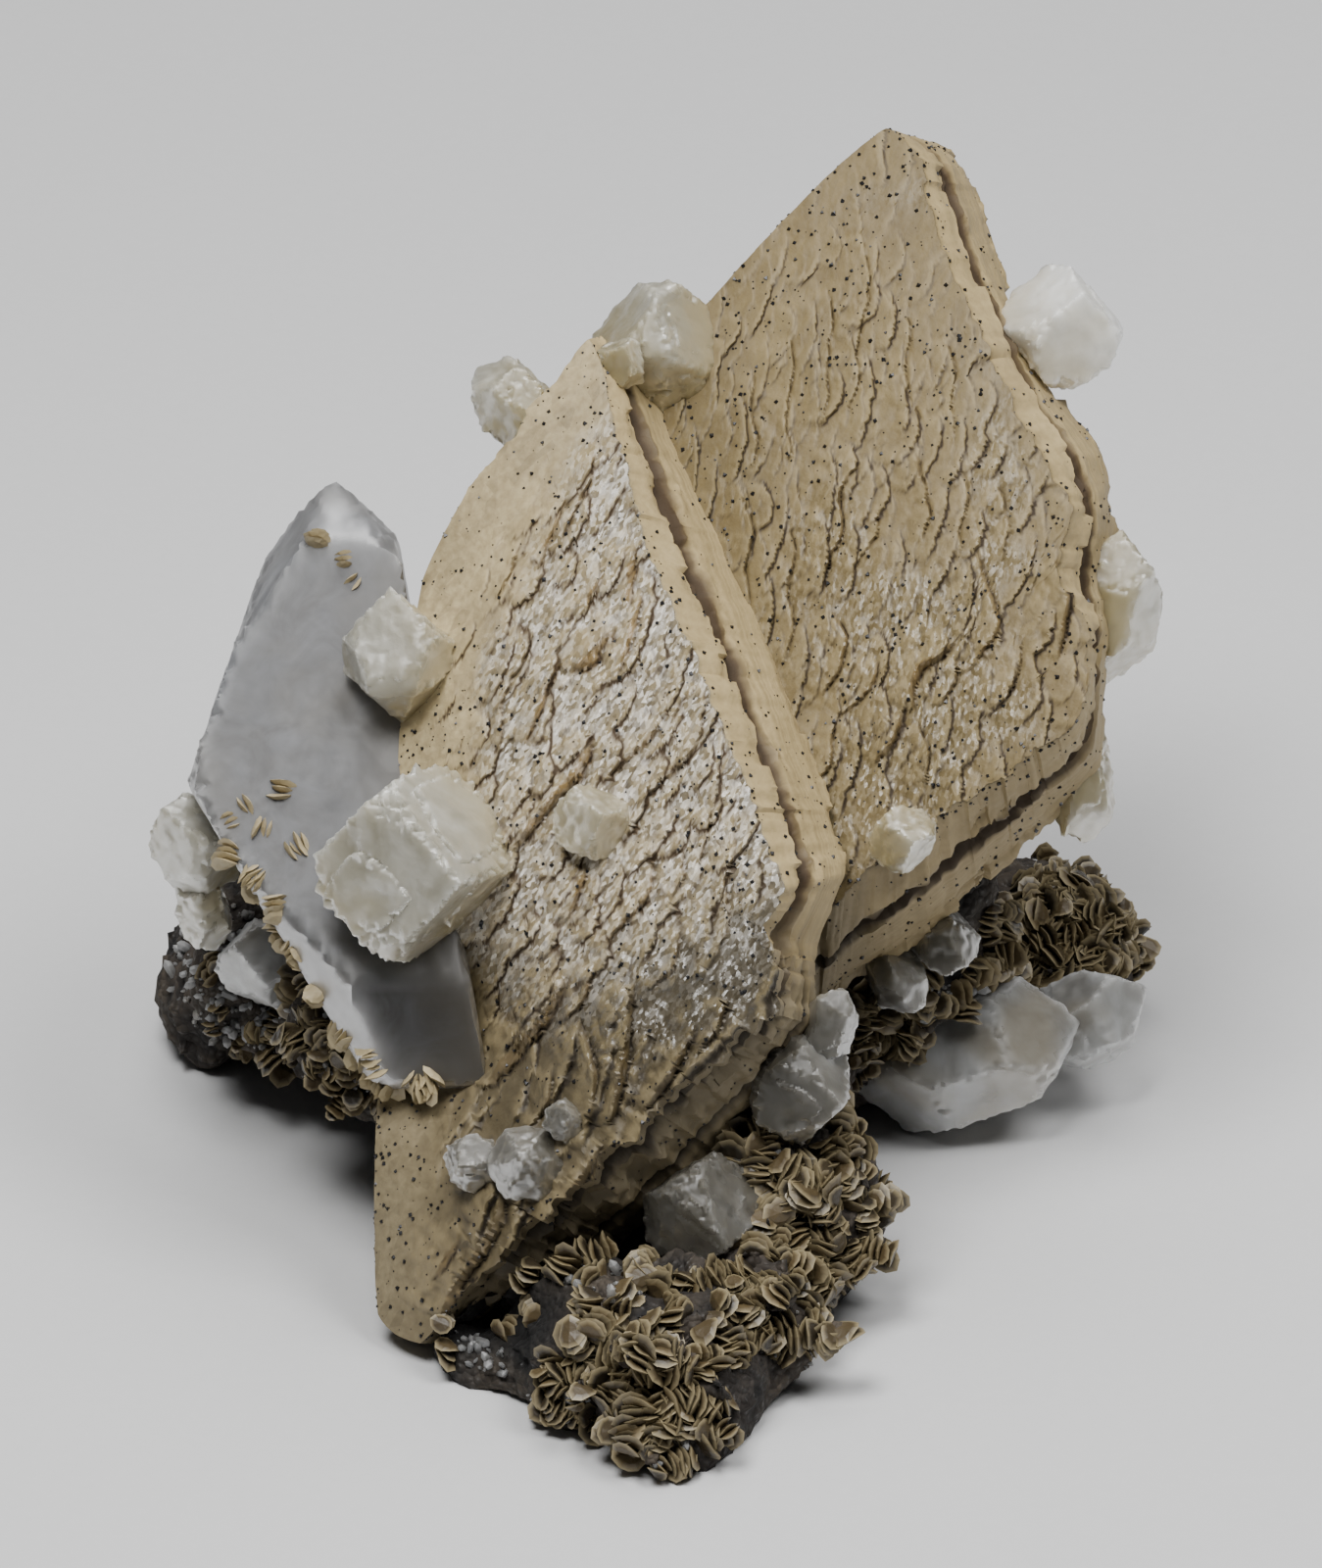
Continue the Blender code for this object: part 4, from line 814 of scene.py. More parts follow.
def rockSurface(node, shelter):
    # a copy of the CAD rock, remeshed evenly and pushed along its normals by fractal noise. Also returns how
    # high each place is pushed, and a painted shade, darkest close to the siderites that shelter it and in the
    # hollow.
    copy = bmesh.new()
    copy.from_mesh(node.data)
    bmesh.ops.remove_doubles(copy, verts=copy.verts[:], dist=1e-6)
    mesh = bpy.data.meshes.new("rockCopy")
    copy.to_mesh(mesh)
    copy.free()
    helper = bpy.data.objects.new("rockCopy", mesh)
    bpy.context.scene.collection.objects.link(helper)
    melt = helper.modifiers.new("Melt", "REMESH")
    melt.mode = "VOXEL"
    melt.voxel_size = rockPlan["voxel"] * mm
    even = bpy.data.meshes.new_from_object(helper.evaluated_get(bpy.context.evaluated_depsgraph_get()))
    bpy.data.objects.remove(helper)
    count = len(even.vertices)
    spot = np.zeros(count * 3, np.float32)
    even.vertices.foreach_get("co", spot)
    outward = np.zeros(count * 3, np.float32)
    even.vertex_normals.foreach_get("vector", outward)
    corners = np.zeros(len(even.loops), np.int32)
    even.loops.foreach_get("vertex_index", corners)
    spot, outward = spot.reshape(-1, 3).astype(float), outward.reshape(-1, 3).astype(float)
    sizes = {len(polygon.vertices) for polygon in even.polygons}
    assert sizes == {4}, sizes
    at = spot / mm
    broad = roughness(at, rockPlan["broad"][0], 3, rockPlan["seed"]) * rockPlan["broad"][1]
    grain = roughness(at, rockPlan["grain"][0], 2, rockPlan["seed"] + 5) * rockPlan["grain"][1]
    lift = smoothStep(0.2, 2.0, at[:, 2])
    spot = spot + outward * ((broad + grain - 0.15) * lift)[:, None] * mm
    right, up, _ = frontView(spot)
    (hollowRight, hollowUp), (wide, tall), deep = rockPlan["hollow"]
    inHollow = np.exp(-((right - hollowRight) / wide) ** 2 - ((up - hollowUp) / tall) ** 2)
    inHollow = inHollow * (outward @ np.array(heading(0, 0, 1)) > 0)
    spot = spot - np.array(heading(0, 0, 1)) * (deep * inHollow * lift)[:, None] * mm
    spot[:, 2] = np.maximum(spot[:, 2], 0.0)
    bpy.data.meshes.remove(even)
    reach = np.array([shelter.find_nearest(point)[3] for point in spot.tolist()]) / mm
    # painted shade: darkest within 1.5 mm of the siderites and in the hollow
    shelterShade = np.maximum(smoothStep(7.0, 1.5, reach), np.clip(1.5 * inHollow, 0, 1))
    return spot, corners.reshape(-1, 4), {"height": broad + grain, "shelterShade": shelterShade}


# Small lens-shaped siderites. Patches are given in the front view: middle, half-width and half-height, how
# many clusters, and the radius of a lens.
lensPatches = [
    ((-1.2, -41.8), (7.5, 8.0), 145, 1.2), ((10.8, -32.0), (7.8, 9.5), 170, 1.2),
    ((30.5, -11.5), (7.4, 5.8), 160, 1.15), ((18.8, -17.0), (5.0, 4.8), 75, 1.1),
    ((-21.7, -19.5), (9.0, 4.5), 100, 1.0), ((-30.0, -14.0), (5.0, 5.0), 10, 0.8),
]
# Clusters that grow on the large quartz: (right, up), how many lenses, their radius.
lensesOnQuartz = [
    ((-25.0, 19.7), 2, 1.0), ((-23.1, 18.3), 2, 0.8), ((-22.6, 16.4), 1, 0.7), ((-27.5, 1.1), 2, 1.1),
    ((-30.1, -0.4), 1, 0.9), ((-28.6, -2.2), 2, 1.0), ((-27.0, -4.0), 3, 1.0), ((-31.6, -3.3), 3, 1.1),
    ((-30.4, -5.5), 3, 1.1), ((-28.2, -7.4), 3, 1.0), ((-30.6, -8.0), 4, 1.0), ((-28.8, -9.6), 4, 1.1),
    ((-28.6, -11.6), 4, 1.0), ((-27.6, -13.4), 4, 1.1), ((-26.6, -15.6), 4, 1.0), ((-25.0, -17.6), 4, 1.1),
    ((-31.2, -2.0), 2, 0.7), ((-29.4, -6.6), 3, 0.8), ((-27.2, -12.2), 3, 0.8), ((-22.6, -19.4), 4, 1.1),
    ((-20.4, -20.4), 4, 1.1), ((-18.2, -20.8), 4, 1.1), ((-16.2, -20.6), 4, 1.1), ((-24.0, -18.6), 4, 1.1),
    ((-21.4, -21.4), 4, 1.1), ((-19.2, -21.6), 4, 1.1), ((-17.0, -21.8), 4, 1.1),
]
lensPlan = {"angles": 10, "thick": 0.24, "saddle": 0.20, "perCluster": (2, 5), "gap": 0.5, "seed": 17,
            "bare": ((-10.5, -38.5), (5.2, 4.8)), "elsewhere": 900, "heights": (1.2, 26)}


def lensSurface():
    # unit lens: radius r at angle a, half thickness (1 − r²)^0.6, bent like a saddle by r²·cos 2a,
    # with an outline that is nearly a rounded rhomb
    count = lensPlan["angles"]
    angle = np.arange(count) * 2 * math.pi / count
    outline = 1 + 0.10 * np.cos(2 * angle) + 0.05 * np.cos(3 * angle)
    rings = []
    for share, side in ((0.62, 1), (1.0, 0), (0.62, -1)):
        bend = lensPlan["saddle"] * share**2 * np.cos(2 * angle)
        rise = side * lensPlan["thick"] * (1 - share**2) ** 0.6 + bend
        rings.append(np.stack([share * outline * np.cos(angle), share * outline * np.sin(angle), rise], -1))
    caps = np.array([[0, 0, lensPlan["thick"]], [0, 0, -lensPlan["thick"]]])
    points = np.concatenate([*rings, caps])
    quads = gridFaces(3, count, wrap=True)[:, ::-1]
    ring = np.arange(count)
    top = np.stack([np.full(count, 3 * count), ring, np.roll(ring, -1)], -1)
    under = np.stack([np.full(count, 3 * count + 1), np.roll(ring, -1) + 2 * count, ring + 2 * count], -1)
    rim = np.concatenate([np.full(count, 0.35), np.ones(count), np.full(count, 0.35), [0.0, 0.0]])
    return points, quads, np.concatenate([top, under]), rim


def copiesOf(unit, faces, frames, sizes, spots):
    # the unit shape at every spot: points = spot + size · (frame axes × unit point), as one array
    placed = spots[:, None] + sizes[:, None, None] * np.einsum("nij,pj->npi", frames, unit)
    shift = np.arange(len(spots))[:, None, None] * len(unit)
    return placed.reshape(-1, 3), [(f[None] + shift).reshape(-1, f.shape[1]) for f in faces]


def axesFrom(normals, spins):
    # three axes for each normal: the normal last, turned about it by its spin
    helper = np.where(np.abs(normals[:, 2:3]) < 0.9, [[0.0, 0.0, 1.0]], [[1.0, 0.0, 0.0]])
    side = np.cross(helper, normals)
    side /= np.linalg.norm(side, axis=1, keepdims=True)
    other = np.cross(normals, side)
    turned = side * np.cos(spins)[:, None] + other * np.sin(spins)[:, None]
    return np.stack([turned, np.cross(normals, turned), normals], -1)


def seedLenses(tree, bladeTree, surfaces):
    # finds where each cluster grows: rays from the front view onto the rock, and random places elsewhere
    chance = np.random.default_rng(lensPlan["seed"])
    toward = heading(0, 0, 1)
    found = []
    for (right, up), count, radius in lensesOnQuartz:
        spot, normal, _, _ = bladeTree.ray_cast(Vector(onStage(right, up, 90.0)), -toward)
        if spot is None:
            spot, normal, _, _ = bladeTree.find_nearest(Vector(onStage(right, up, 4.0)))
        found.append((*spot, *normal, 1.05 * radius, count + 1, 3.0))
    (bareRight, bareUp), (bareWide, bareTall) = lensPlan["bare"]
    for (right, up), (wide, tall), count, radius in lensPatches:
        angle, share = chance.uniform(0, 2 * math.pi, count), np.sqrt(chance.random(count))
        x, y = right + np.cos(angle) * share * wide, up + np.sin(angle) * share * tall
        clear = ((x - bareRight) / bareWide) ** 2 + ((y - bareUp) / bareTall) ** 2 > 1
        for start in onStage(x[clear], y[clear], 90.0):
            spot, normal, _, _ = tree.ray_cast(Vector(start), -toward)
            if spot is not None:
                lenses = chance.integers(*lensPlan["perCluster"], endpoint=True)
                found.append((*spot, *normal, radius * chance.uniform(0.7, 1.2), lenses, 1.0))
    spots, normals = surfaces
    picked = chance.choice(len(spots), lensPlan["elsewhere"], replace=False)
    lowest, highest = lensPlan["heights"]
    for i in picked:
        grown = noise(spots[i][None] / mm, 9.0, 33)[0]
        if grown > 0.22 and lowest * mm < spots[i][2] < highest * mm and normals[i][2] > -0.5:
            found.append((*spots[i], *normals[i], chance.uniform(0.8, 1.3), chance.integers(3, 7), 1.0))
    return np.array(found)


def growLenses(tree, bladeTree, surfaces, finish):
    chance = np.random.default_rng(lensPlan["seed"] + 1)
    found = seedLenses(tree, bladeTree, surfaces)
    spots, normals, sizes, pales = [], [], [], []
    for row in found:
        spot, normal, radius = row[:3], row[3:6], row[6]
        facing = unit(chance.normal(size=3))
        facing = unit(facing - normal * (facing @ normal) * 0.92)
        fan = unit(np.cross(facing, chance.normal(size=3)))
        for k in range(int(row[7])):
            turned = unit(facing + fan * 0.13 * k + chance.normal(size=3) * 0.05)
            size = radius * chance.uniform(0.75, 1.1)
            rise = chance.uniform(0.10, 0.55) * size
            spots.append(spot + (facing * lensPlan["gap"] * k + normal * rise) * mm)
            normals.append(turned)
            sizes.append(size * mm)
            pales.append(row[8])
    spots, normals, sizes = np.array(spots), np.array(normals), np.array(sizes)
    base, quads, caps, rim = lensSurface()
    frames = axesFrom(normals, chance.uniform(0, 2 * math.pi, len(spots)))
    points, faces = copiesOf(base, (quads, caps), frames, sizes, spots)
    low = points[:, 2] < 0.0
    points[low, 2] = 0.0
    tones = np.where(np.array(pales) > 1, 3.0, chance.uniform(-1, 1, len(spots)))
    tone = np.repeat(tones, len(base))
    marks = {"edge": np.tile(rim, len(spots)), "tone": tone}
    return addPiece("siderite_lenses", points, faces, finish, marks=marks, smooth=False)


# A druse of small clear quartz crystals on the rock: middle, half-width and half-height in the front view,
# and how many.
drusePatches = [
    ((-31.5, -13.0), (5.0, 5.5), 220), ((-25.0, -19.0), (6.0, 3.5), 90), ((26.0, -17.5), (9.0, 4.5), 190),
    ((34.0, -14.0), (3.0, 4.0), 50), ((5.0, -25.5), (4.5, 5.0), 110), ((-3.0, -34.0), (4.5, 3.5), 70),
    ((-5.0, -47.0), (9.0, 3.5), 200), ((-15.5, -42.5), (5.0, 3.0), 140), ((13.0, -37.0), (5.0, 6.0), 80),
]


def growDruse(tree, finish):
    # each crystal is a six-sided prism from ring to ring and a six-sided point above it
    chance = np.random.default_rng(23)
    toward = heading(0, 0, 1)
    spots, normals = [], []
    for (right, up), (wide, tall), count in drusePatches:
        angle, share = chance.uniform(0, 2 * math.pi, count), np.sqrt(chance.random(count))
        for start in onStage(right + np.cos(angle) * share * wide, up + np.sin(angle) * share * tall, 90.0):
            spot, normal, _, _ = tree.ray_cast(Vector(start), -toward)
            if spot is not None and spot.z > 1.5 * mm:
                spots.append(spot)
                normals.append(normal)
    spots = np.array(spots)
    normals = unit(np.array(normals) + chance.normal(size=(len(spots), 3)) * 0.45)
    angle = np.arange(6) * math.pi / 3
    ring = np.stack([0.42 * np.cos(angle), 0.42 * np.sin(angle), np.zeros(6)], -1)
    prism = np.concatenate([ring - [0, 0, 0.5], ring + [0, 0, 0.7], [[0, 0, 1.2], [0, 0, -0.6]]])
    side = np.arange(6)
    quads = np.stack([side, np.roll(side, -1), np.roll(side, -1) + 6, side + 6], -1)
    caps = np.concatenate([np.stack([side + 6, np.roll(side, -1) + 6, np.full(6, 12)], -1),
                           np.stack([np.roll(side, -1), side, np.full(6, 13)], -1)])
    frames = axesFrom(normals, chance.uniform(0, 6, len(spots)))
    sizes = (0.22 + 0.75 * chance.random(len(spots)) ** 3) * mm
    points, faces = copiesOf(prism, (quads, caps), frames, sizes, spots)
    points[:, 2] = np.maximum(points[:, 2], 0.0)
    rim = np.tile([0.0] * 6 + [0.6] * 6 + [1.0, 0.0], len(spots))
    marks = {"edge": rim, "touch": 0 * rim, "facet": 0 * rim}
    return addPiece("quartz_druse", points, faces, finish, marks=marks, smooth=False)


specksOn = {"siderite_front": 2600, "siderite_rear": 2600, "sizes": (0.06, 0.24)}  # how many, radii in mm


def growSpecks(name, points, count, density, finish, seed):
    # tiny black crystals: octahedra set on points of a siderite's surface, thicker where density is high
    chance = np.random.default_rng(seed)
    keep = chance.random(len(points)) < density * count / density.sum()
    spots = points[keep]
    octahedron = np.array([[1, 0, 0], [0, 1, 0], [-1, 0, 0], [0, -1, 0], [0, 0, 1], [0, 0, -1]], float)
    ring = np.arange(4)
    caps = np.concatenate([np.stack([ring, np.roll(ring, -1), np.full(4, 4)], -1),
                           np.stack([np.roll(ring, -1), ring, np.full(4, 5)], -1)])
    normals = unit(chance.normal(size=(len(spots), 3)))
    frames = axesFrom(normals, chance.uniform(0, 6, len(spots)))
    small, large = specksOn["sizes"]
    sizes = (small + (large - small) * chance.random(len(spots)) ** 2) * mm
    placed, faces = copiesOf(octahedron, (caps,), frames, sizes, spots)
    return addPiece(name, placed, faces, finish, smooth=False)


def layered(tree, base, *layers):
    # lays colours over a base, which like them is a hex code or what other nodes give: the amount of each
    # layer runs straight from start to end while its source runs from low to high
    for source, (low, high), (start, end), over in layers:
        amount = addNode(tree, "ShaderNodeMapRange", {
            "From Min": low, "From Max": high, "To Min": start, "To Max": end, "Value": source})
        first, second = (linear(colour) if isinstance(colour, str) else colour for colour in (base, over))
        base = addNode(tree, "ShaderNodeMix", {
            "data_type": "RGBA", 0: amount.outputs["Result"], 6: first, 7: second}).outputs[2]
    return base


def sideriteFinish():
    # siderite, iron carbonate grown in thin lamellae: pearly on the cleavage faces, where hundreds of tiny
    # facets glint, their glints partly painted into the colour, satin cream on the cut edges of the lamellae,
    # and stained brown in the hollows, where painted shadow darkens them; painted shade also darkens the lower
    # end, the downward sides and the rear's corner
    finish, tree, shader, place = startMaterial("siderite, pearly cleavage")
    hollow, edge, slope, band, pearl, tone, level, warm, dull, along, across = (
        addNode(tree, "ShaderNodeAttribute", {"attribute_name": name}).outputs["Fac"] for name in (
            "hollow", "edge", "slope", "band", "pearl", "tone", "level", "warm", "dull", "along", "across"))
    cloud, fine = (
        addNode(tree, "ShaderNodeTexNoise", {
            "Scale": 1 / size, "Detail": detail, "Vector": place}).outputs["Fac"]
        for size, detail in ((0.006, 4.0), (0.0006, 3.0)))
    stripes = addNode(tree, "ShaderNodeTexNoise", {
        "noise_dimensions": "1D", "Scale": 34.0, "Detail": 2.0, "W": level}).outputs["Fac"]
    long, wide = (addNode(tree, "ShaderNodeMath", {"operation": "DIVIDE", 0: part, 1: size}).outputs[0]
                  for part, size in ((along, 0.42), (across, 0.2)))  # a facet is 0.42 × 0.2 mm
    grain = addNode(tree, "ShaderNodeCombineXYZ", {"X": long, "Y": wide}).outputs[0]
    facets, scales = (addNode(tree, "ShaderNodeTexVoronoi", {
        "voronoi_dimensions": "2D", "Scale": size, "Vector": grain}).outputs["Color"] for size in (1.0, 0.3))
    glint, scaleTone = (addNode(tree, "ShaderNodeSeparateColor", {"Color": cells}).outputs[part]
                        for cells, part in ((facets, "Green"), (scales, "Red")))

    soft, whole = (0.35, 0.65), (0.0, 1.0)
    tan = layered(tree, "#968867", (cloud, soft, whole, "#B3A37D"))
    # the darker brown that the brown tint with painted shade lays over the tan, towards the front's foot and in
    # the rear's corner
    brown = layered(tree, "#665228", (cloud, soft, whole, "#7C683B"))
    tan = layered(tree, tan, (warm, whole, whole, brown), (fine, (0.35, 0.7), (0.0, 0.45), "#5C4B2D"))
    # painted glints: each tiny facet's colour runs from dark to pale silver; the tilted normals below give the
    # real glints
    silver = layered(tree, "#605A4F", (glint, (0.3, 0.95), whole, "#CBC7BF"))
    # the same brown tint with painted shade, over the silver
    silverBrownShade = layered(tree, "#66583B", (glint, (0.3, 0.95), whole, "#9C8F73"))
    silver = layered(tree, silver, (warm, whole, whole, silverBrownShade))
    # the cream of the cut edges, turned grey and dark by painted shade on the sides that face down
    cream = layered(tree, "#AC986F", (cloud, (0.3, 0.7), whole, "#98855E"),
                    (fine, (0.4, 0.7), (0.0, 0.4), "#86754E"), (dull, whole, (0.0, 0.85), "#4C483E"))
    lamellae = layered(tree, "#75643F", (stripes, (0.4, 0.6), whole, cream))
    cream = layered(tree, cream, (level, (0.3, 0.5), (0.0, 0.4), lamellae))
    # painted shade: the shade colour, and the darker rim, broken and stain colours taken where the shade mark is
    # high
    shade = layered(tree, "#433D31", (warm, whole, whole, "#4D401F"))
    rim = layered(tree, "#A8966E", (dull, whole, whole, "#857757"))
    broken = layered(tree, "#8A7145", (dull, whole, whole, "#55482F"))
    stain = layered(tree, "#3C2B12", (dull, whole, whole, "#2C2415"))
    # painted shade as the shade mark says, and painted shadow in the hollows below the plates' edges, brown and
    # nearly black where deepest
    colour = layered(
        tree, tan, (pearl, whole, whole, silver), (scaleTone, (0.0, 0.5), (0.35, 0.0), "#54472F"),
        (tone, (-0.8, 0.8), (0.0, 0.16), "#BEAB80"), (dull, whole, (0.0, 0.92), shade),
        (band, whole, whole, cream), (edge, whole, (0.0, 0.5), rim), (slope, whole, (0.0, 0.85), broken),
        (hollow, (0.05, 0.75), whole, stain), (hollow, (0.7, 1.0), (0.0, 0.7), "#1B130A"))
    tree.links.new(colour, shader.inputs["Base Color"])

    clean = addNode(tree, "ShaderNodeMapRange", {
        "From Min": 0.0, "From Max": 0.5, "To Min": 1.0, "To Max": 0.0, "Value": hollow}).outputs["Result"]
    sheen = addNode(tree, "ShaderNodeMath", {"operation": "MULTIPLY", 0: pearl, 1: clean}).outputs[0]
    matt = addNode(tree, "ShaderNodeMapRange", {
        "To Min": 0.62, "To Max": 0.26, "Value": sheen}).outputs["Result"]
    matt = addNode(tree, "ShaderNodeMath", {"operation": "MAXIMUM", 0: matt, 1: hollow}).outputs[0]
    tree.links.new(matt, shader.inputs["Roughness"])

    # every facet leans its own way, by its random colour less a middle grey
    offBand = addNode(tree, "ShaderNodeMapRange", {
        "From Max": 0.5, "To Min": 1.0, "To Max": 0.0, "Value": band}).outputs["Result"]
    lean = addNode(tree, "ShaderNodeMath", {"operation": "MULTIPLY", 0: pearl, 1: offBand}).outputs[0]
    lean = addNode(tree, "ShaderNodeMapRange", {
        "To Min": 0.08, "To Max": 0.6, "Value": lean}).outputs["Result"]
    way = addNode(tree, "ShaderNodeVectorMath", {"operation": "SUBTRACT", 0: facets, 1: (0.5, 0.5, 0.5)})
    way = addNode(tree, "ShaderNodeVectorMath", {"operation": "SCALE", 0: way.outputs[0], "Scale": lean})
    normal = addNode(tree, "ShaderNodeNewGeometry").outputs["Normal"]
    tipped = addNode(tree, "ShaderNodeVectorMath", {"operation": "ADD", 0: normal, 1: way.outputs[0]})
    tipped = addNode(tree, "ShaderNodeVectorMath", {"operation": "NORMALIZE", 0: tipped.outputs[0]})
    bump = addNode(tree, "ShaderNodeBump", {
        "Strength": 0.35, "Distance": 0.0002, "Height": fine, "Normal": tipped.outputs[0]})
    scaly = addNode(tree, "ShaderNodeBump", {
        "Strength": 0.5, "Distance": 0.00025, "Height": scaleTone, "Normal": bump.outputs["Normal"]})
    tree.links.new(scaly.outputs["Normal"], shader.inputs["Normal"])
    shader.inputs["IOR"].default_value = 1.6
    shader.inputs["Specular IOR Level"].default_value = 0.35
    return finish


# The quartz's finishes: colours of the milky veils (pale, dim), of the edges and of the rust; how clear it is
# and how deep light goes in, in metres; gloss, the range of its frosted roughness, how deep the grain of its
# faces is, and how much rust it takes where it touches the siderites.
quartzLooks = [
    {"name": "quartz, milky", "pale": "#BCB9AC", "dim": "#97927F", "rim": "#CFCEC6", "stain": "#9C8E63",
     "clear": 0.45, "depth": 0.0024, "gloss": 0.3, "frost": (0.3, 0.5), "relief": 1.0, "touch": 0.85},
    {"name": "quartz, cloudy grey", "pale": "#555659", "dim": "#363432", "rim": "#BFC0C2", "stain": "#58534A",
     "clear": 0.5, "depth": 0.0030, "gloss": 0.1, "frost": (0.42, 0.46), "relief": 0.15, "touch": 0.85},
    {"name": "quartz, half clear", "pale": "#B4B5B5", "dim": "#8A8883", "rim": "#D6D7D8", "stain": "#968C79",
     "clear": 0.6, "depth": 0.0030, "gloss": 0.5, "frost": (0.3, 0.5), "relief": 1.0, "touch": 0.5},
    {"name": "quartz, frosted grey", "pale": "#ABACAB", "dim": "#83817C", "rim": "#B4B5B5", "stain": "#8C836F",
     "clear": 0.35, "depth": 0.0030, "gloss": 0.25, "frost": (0.4, 0.55), "relief": 0.6, "touch": 0.3},
    {"name": "quartz, shaded grey", "pale": "#7F7D77", "dim": "#57544C", "rim": "#8F8D87", "stain": "#4F4A3C",
     "clear": 0.4, "depth": 0.0030, "gloss": 0.25, "frost": (0.3, 0.5), "relief": 0.8, "touch": 0.5},
    {"name": "quartz, white inside", "pale": "#F2F2EE", "dim": "#CFCEC8", "rim": "#F6F6F3", "stain": "#B5A987",
     "clear": 0.3, "depth": 0.0024, "gloss": 0.5, "frost": (0.3, 0.5), "relief": 1.0, "touch": 0.5},
]


def quartzFinish(look):
    # quartz, grown in water: glassy faces frosted by fine growth hillocks, milky inside with tiny bubbles,
    # and yellowed in patches by iron
    finish, tree, shader, place = startMaterial(look["name"])
    edge, facet, touch = (addNode(tree, "ShaderNodeAttribute", {"attribute_name": name}).outputs["Fac"]
                          for name in ("edge", "facet", "touch"))
    veil, patch, hillocks = (
        addNode(tree, "ShaderNodeTexNoise", {
            "Scale": 1 / size, "Detail": detail, "Distortion": bent, "Vector": place}).outputs["Fac"]
        for size, detail, bent in ((0.004, 5.0, 1.2), (0.008, 2.0, 0.0), (0.0009, 3.0, 0.0)))
    grains = addNode(tree, "ShaderNodeTexVoronoi", {"Scale": 1 / 0.0006, "Vector": place}).outputs["Distance"]
    # facet: each face paler or darker by its tone; on the large crystal these tones are painted light
    colour = layered(
        tree, look["dim"], (veil, (0.35, 0.65), (0.0, 1.0), look["pale"]),
        (facet, (0.0, 1.0), (0.0, 0.6), look["rim"]), (facet, (-1.0, 0.0), (0.6, 0.0), look["dim"]),
        (patch, (0.48, 0.66), (0.0, 0.75), look["stain"]), (edge, (0.0, 1.0), (0.0, 0.3), look["rim"]),
        (touch, (0.0, 1.0), (0.0, look["touch"]), look["stain"]))
    tree.links.new(colour, shader.inputs["Base Color"])
    frost = addNode(tree, "ShaderNodeMapRange", {
        "From Min": 0.4, "From Max": 0.6, "To Min": look["frost"][0], "To Max": look["frost"][1],
        "Value": hillocks})
    tree.links.new(frost.outputs["Result"], shader.inputs["Roughness"])
    bump = addNode(tree, "ShaderNodeBump", {
        "Strength": 0.15 * look["relief"], "Distance": 0.00015, "Height": hillocks})
    rough = addNode(tree, "ShaderNodeBump", {
        "Strength": 0.12 * look["relief"], "Distance": 0.00015, "Height": grains,
        "Normal": bump.outputs["Normal"]})
    tree.links.new(rough.outputs["Normal"], shader.inputs["Normal"])
    shader.inputs["IOR"].default_value = 1.54
    shader.inputs["Specular IOR Level"].default_value = look["gloss"]
    shader.inputs["Transmission Weight"].default_value = look["clear"]
    shader.inputs["Subsurface Weight"].default_value = 1.0
    shader.inputs["Subsurface Radius"].default_value = (1.0, 1.0, 1.0)
    shader.inputs["Subsurface Scale"].default_value = look["depth"]
    return finish


def rockFinish():
    # dark vein rock: brown-black, granular, with damp-looking glints on its tiny crystals
    finish, tree, shader, place = startMaterial("vein rock, broken")
    height, shelterShade = (addNode(tree, "ShaderNodeAttribute", {"attribute_name": name}).outputs["Fac"]
                         for name in ("height", "shelterShade"))
    cloud = addNode(tree, "ShaderNodeTexNoise", {"Scale": 1 / 0.004, "Detail": 5.0, "Vector": place})
    grains = addNode(tree, "ShaderNodeTexVoronoi", {"Scale": 1 / 0.0007, "Vector": place}).outputs["Distance"]
    # the last layer is painted shade, nearly black under the siderites and in the hollow
    colour = layered(
        tree, "#100D0B", (cloud.outputs["Fac"], (0.38, 0.66), (0.0, 1.0), "#2E2721"),
        (height, (-0.2, 0.5), (0.0, 0.5), "#544A3D"), (shelterShade, (0.0, 1.0), (0.0, 0.9), "#050403"))
    tree.links.new(colour, shader.inputs["Base Color"])
    gloss = addNode(tree, "ShaderNodeMapRange", {
        "From Max": 0.5, "To Min": 0.35, "To Max": 0.85, "Value": grains}).outputs["Result"]
    gloss = addNode(tree, "ShaderNodeMath", {"operation": "MAXIMUM", 0: gloss, 1: shelterShade}).outputs[0]
    tree.links.new(gloss, shader.inputs["Roughness"])
    bump = addNode(tree, "ShaderNodeBump", {
        "Strength": 0.9, "Distance": 0.0005, "invert": True, "Height": grains})
    tree.links.new(bump.outputs["Normal"], shader.inputs["Normal"])
    return finish


def lensFinish():
    # the small siderites: tan and pearly, paler along their thin rims; their faces are painted dark brown, a
    # painted shade for lenses that face down or lie in shadow
    finish, tree, shader, place = startMaterial("siderite, small lenses")
    edge, tone = (addNode(tree, "ShaderNodeAttribute", {"attribute_name": name}).outputs["Fac"]
                  for name in ("edge", "tone"))
    fine = addNode(tree, "ShaderNodeTexNoise", {"Scale": 1 / 0.0008, "Detail": 3.0, "Vector": place})
    # painted shade: the faces' dark brown base; the rims and the lenses on the quartz are paler
    colour = layered(
        tree, "#251F15", (tone, (-1.0, 1.0), (0.0, 1.0), "#54472F"),
        (edge, (0.45, 1.0), (0.0, 0.85), "#948768"), (tone, (1.5, 3.0), (0.0, 0.6), "#B7A884"))
    tree.links.new(colour, shader.inputs["Base Color"])
    shader.inputs["Roughness"].default_value = 0.45
    bump = addNode(tree, "ShaderNodeBump", {
        "Strength": 0.4, "Distance": 0.0002, "Height": fine.outputs["Fac"]})
    tree.links.new(bump.outputs["Normal"], shader.inputs["Normal"])
    return finish


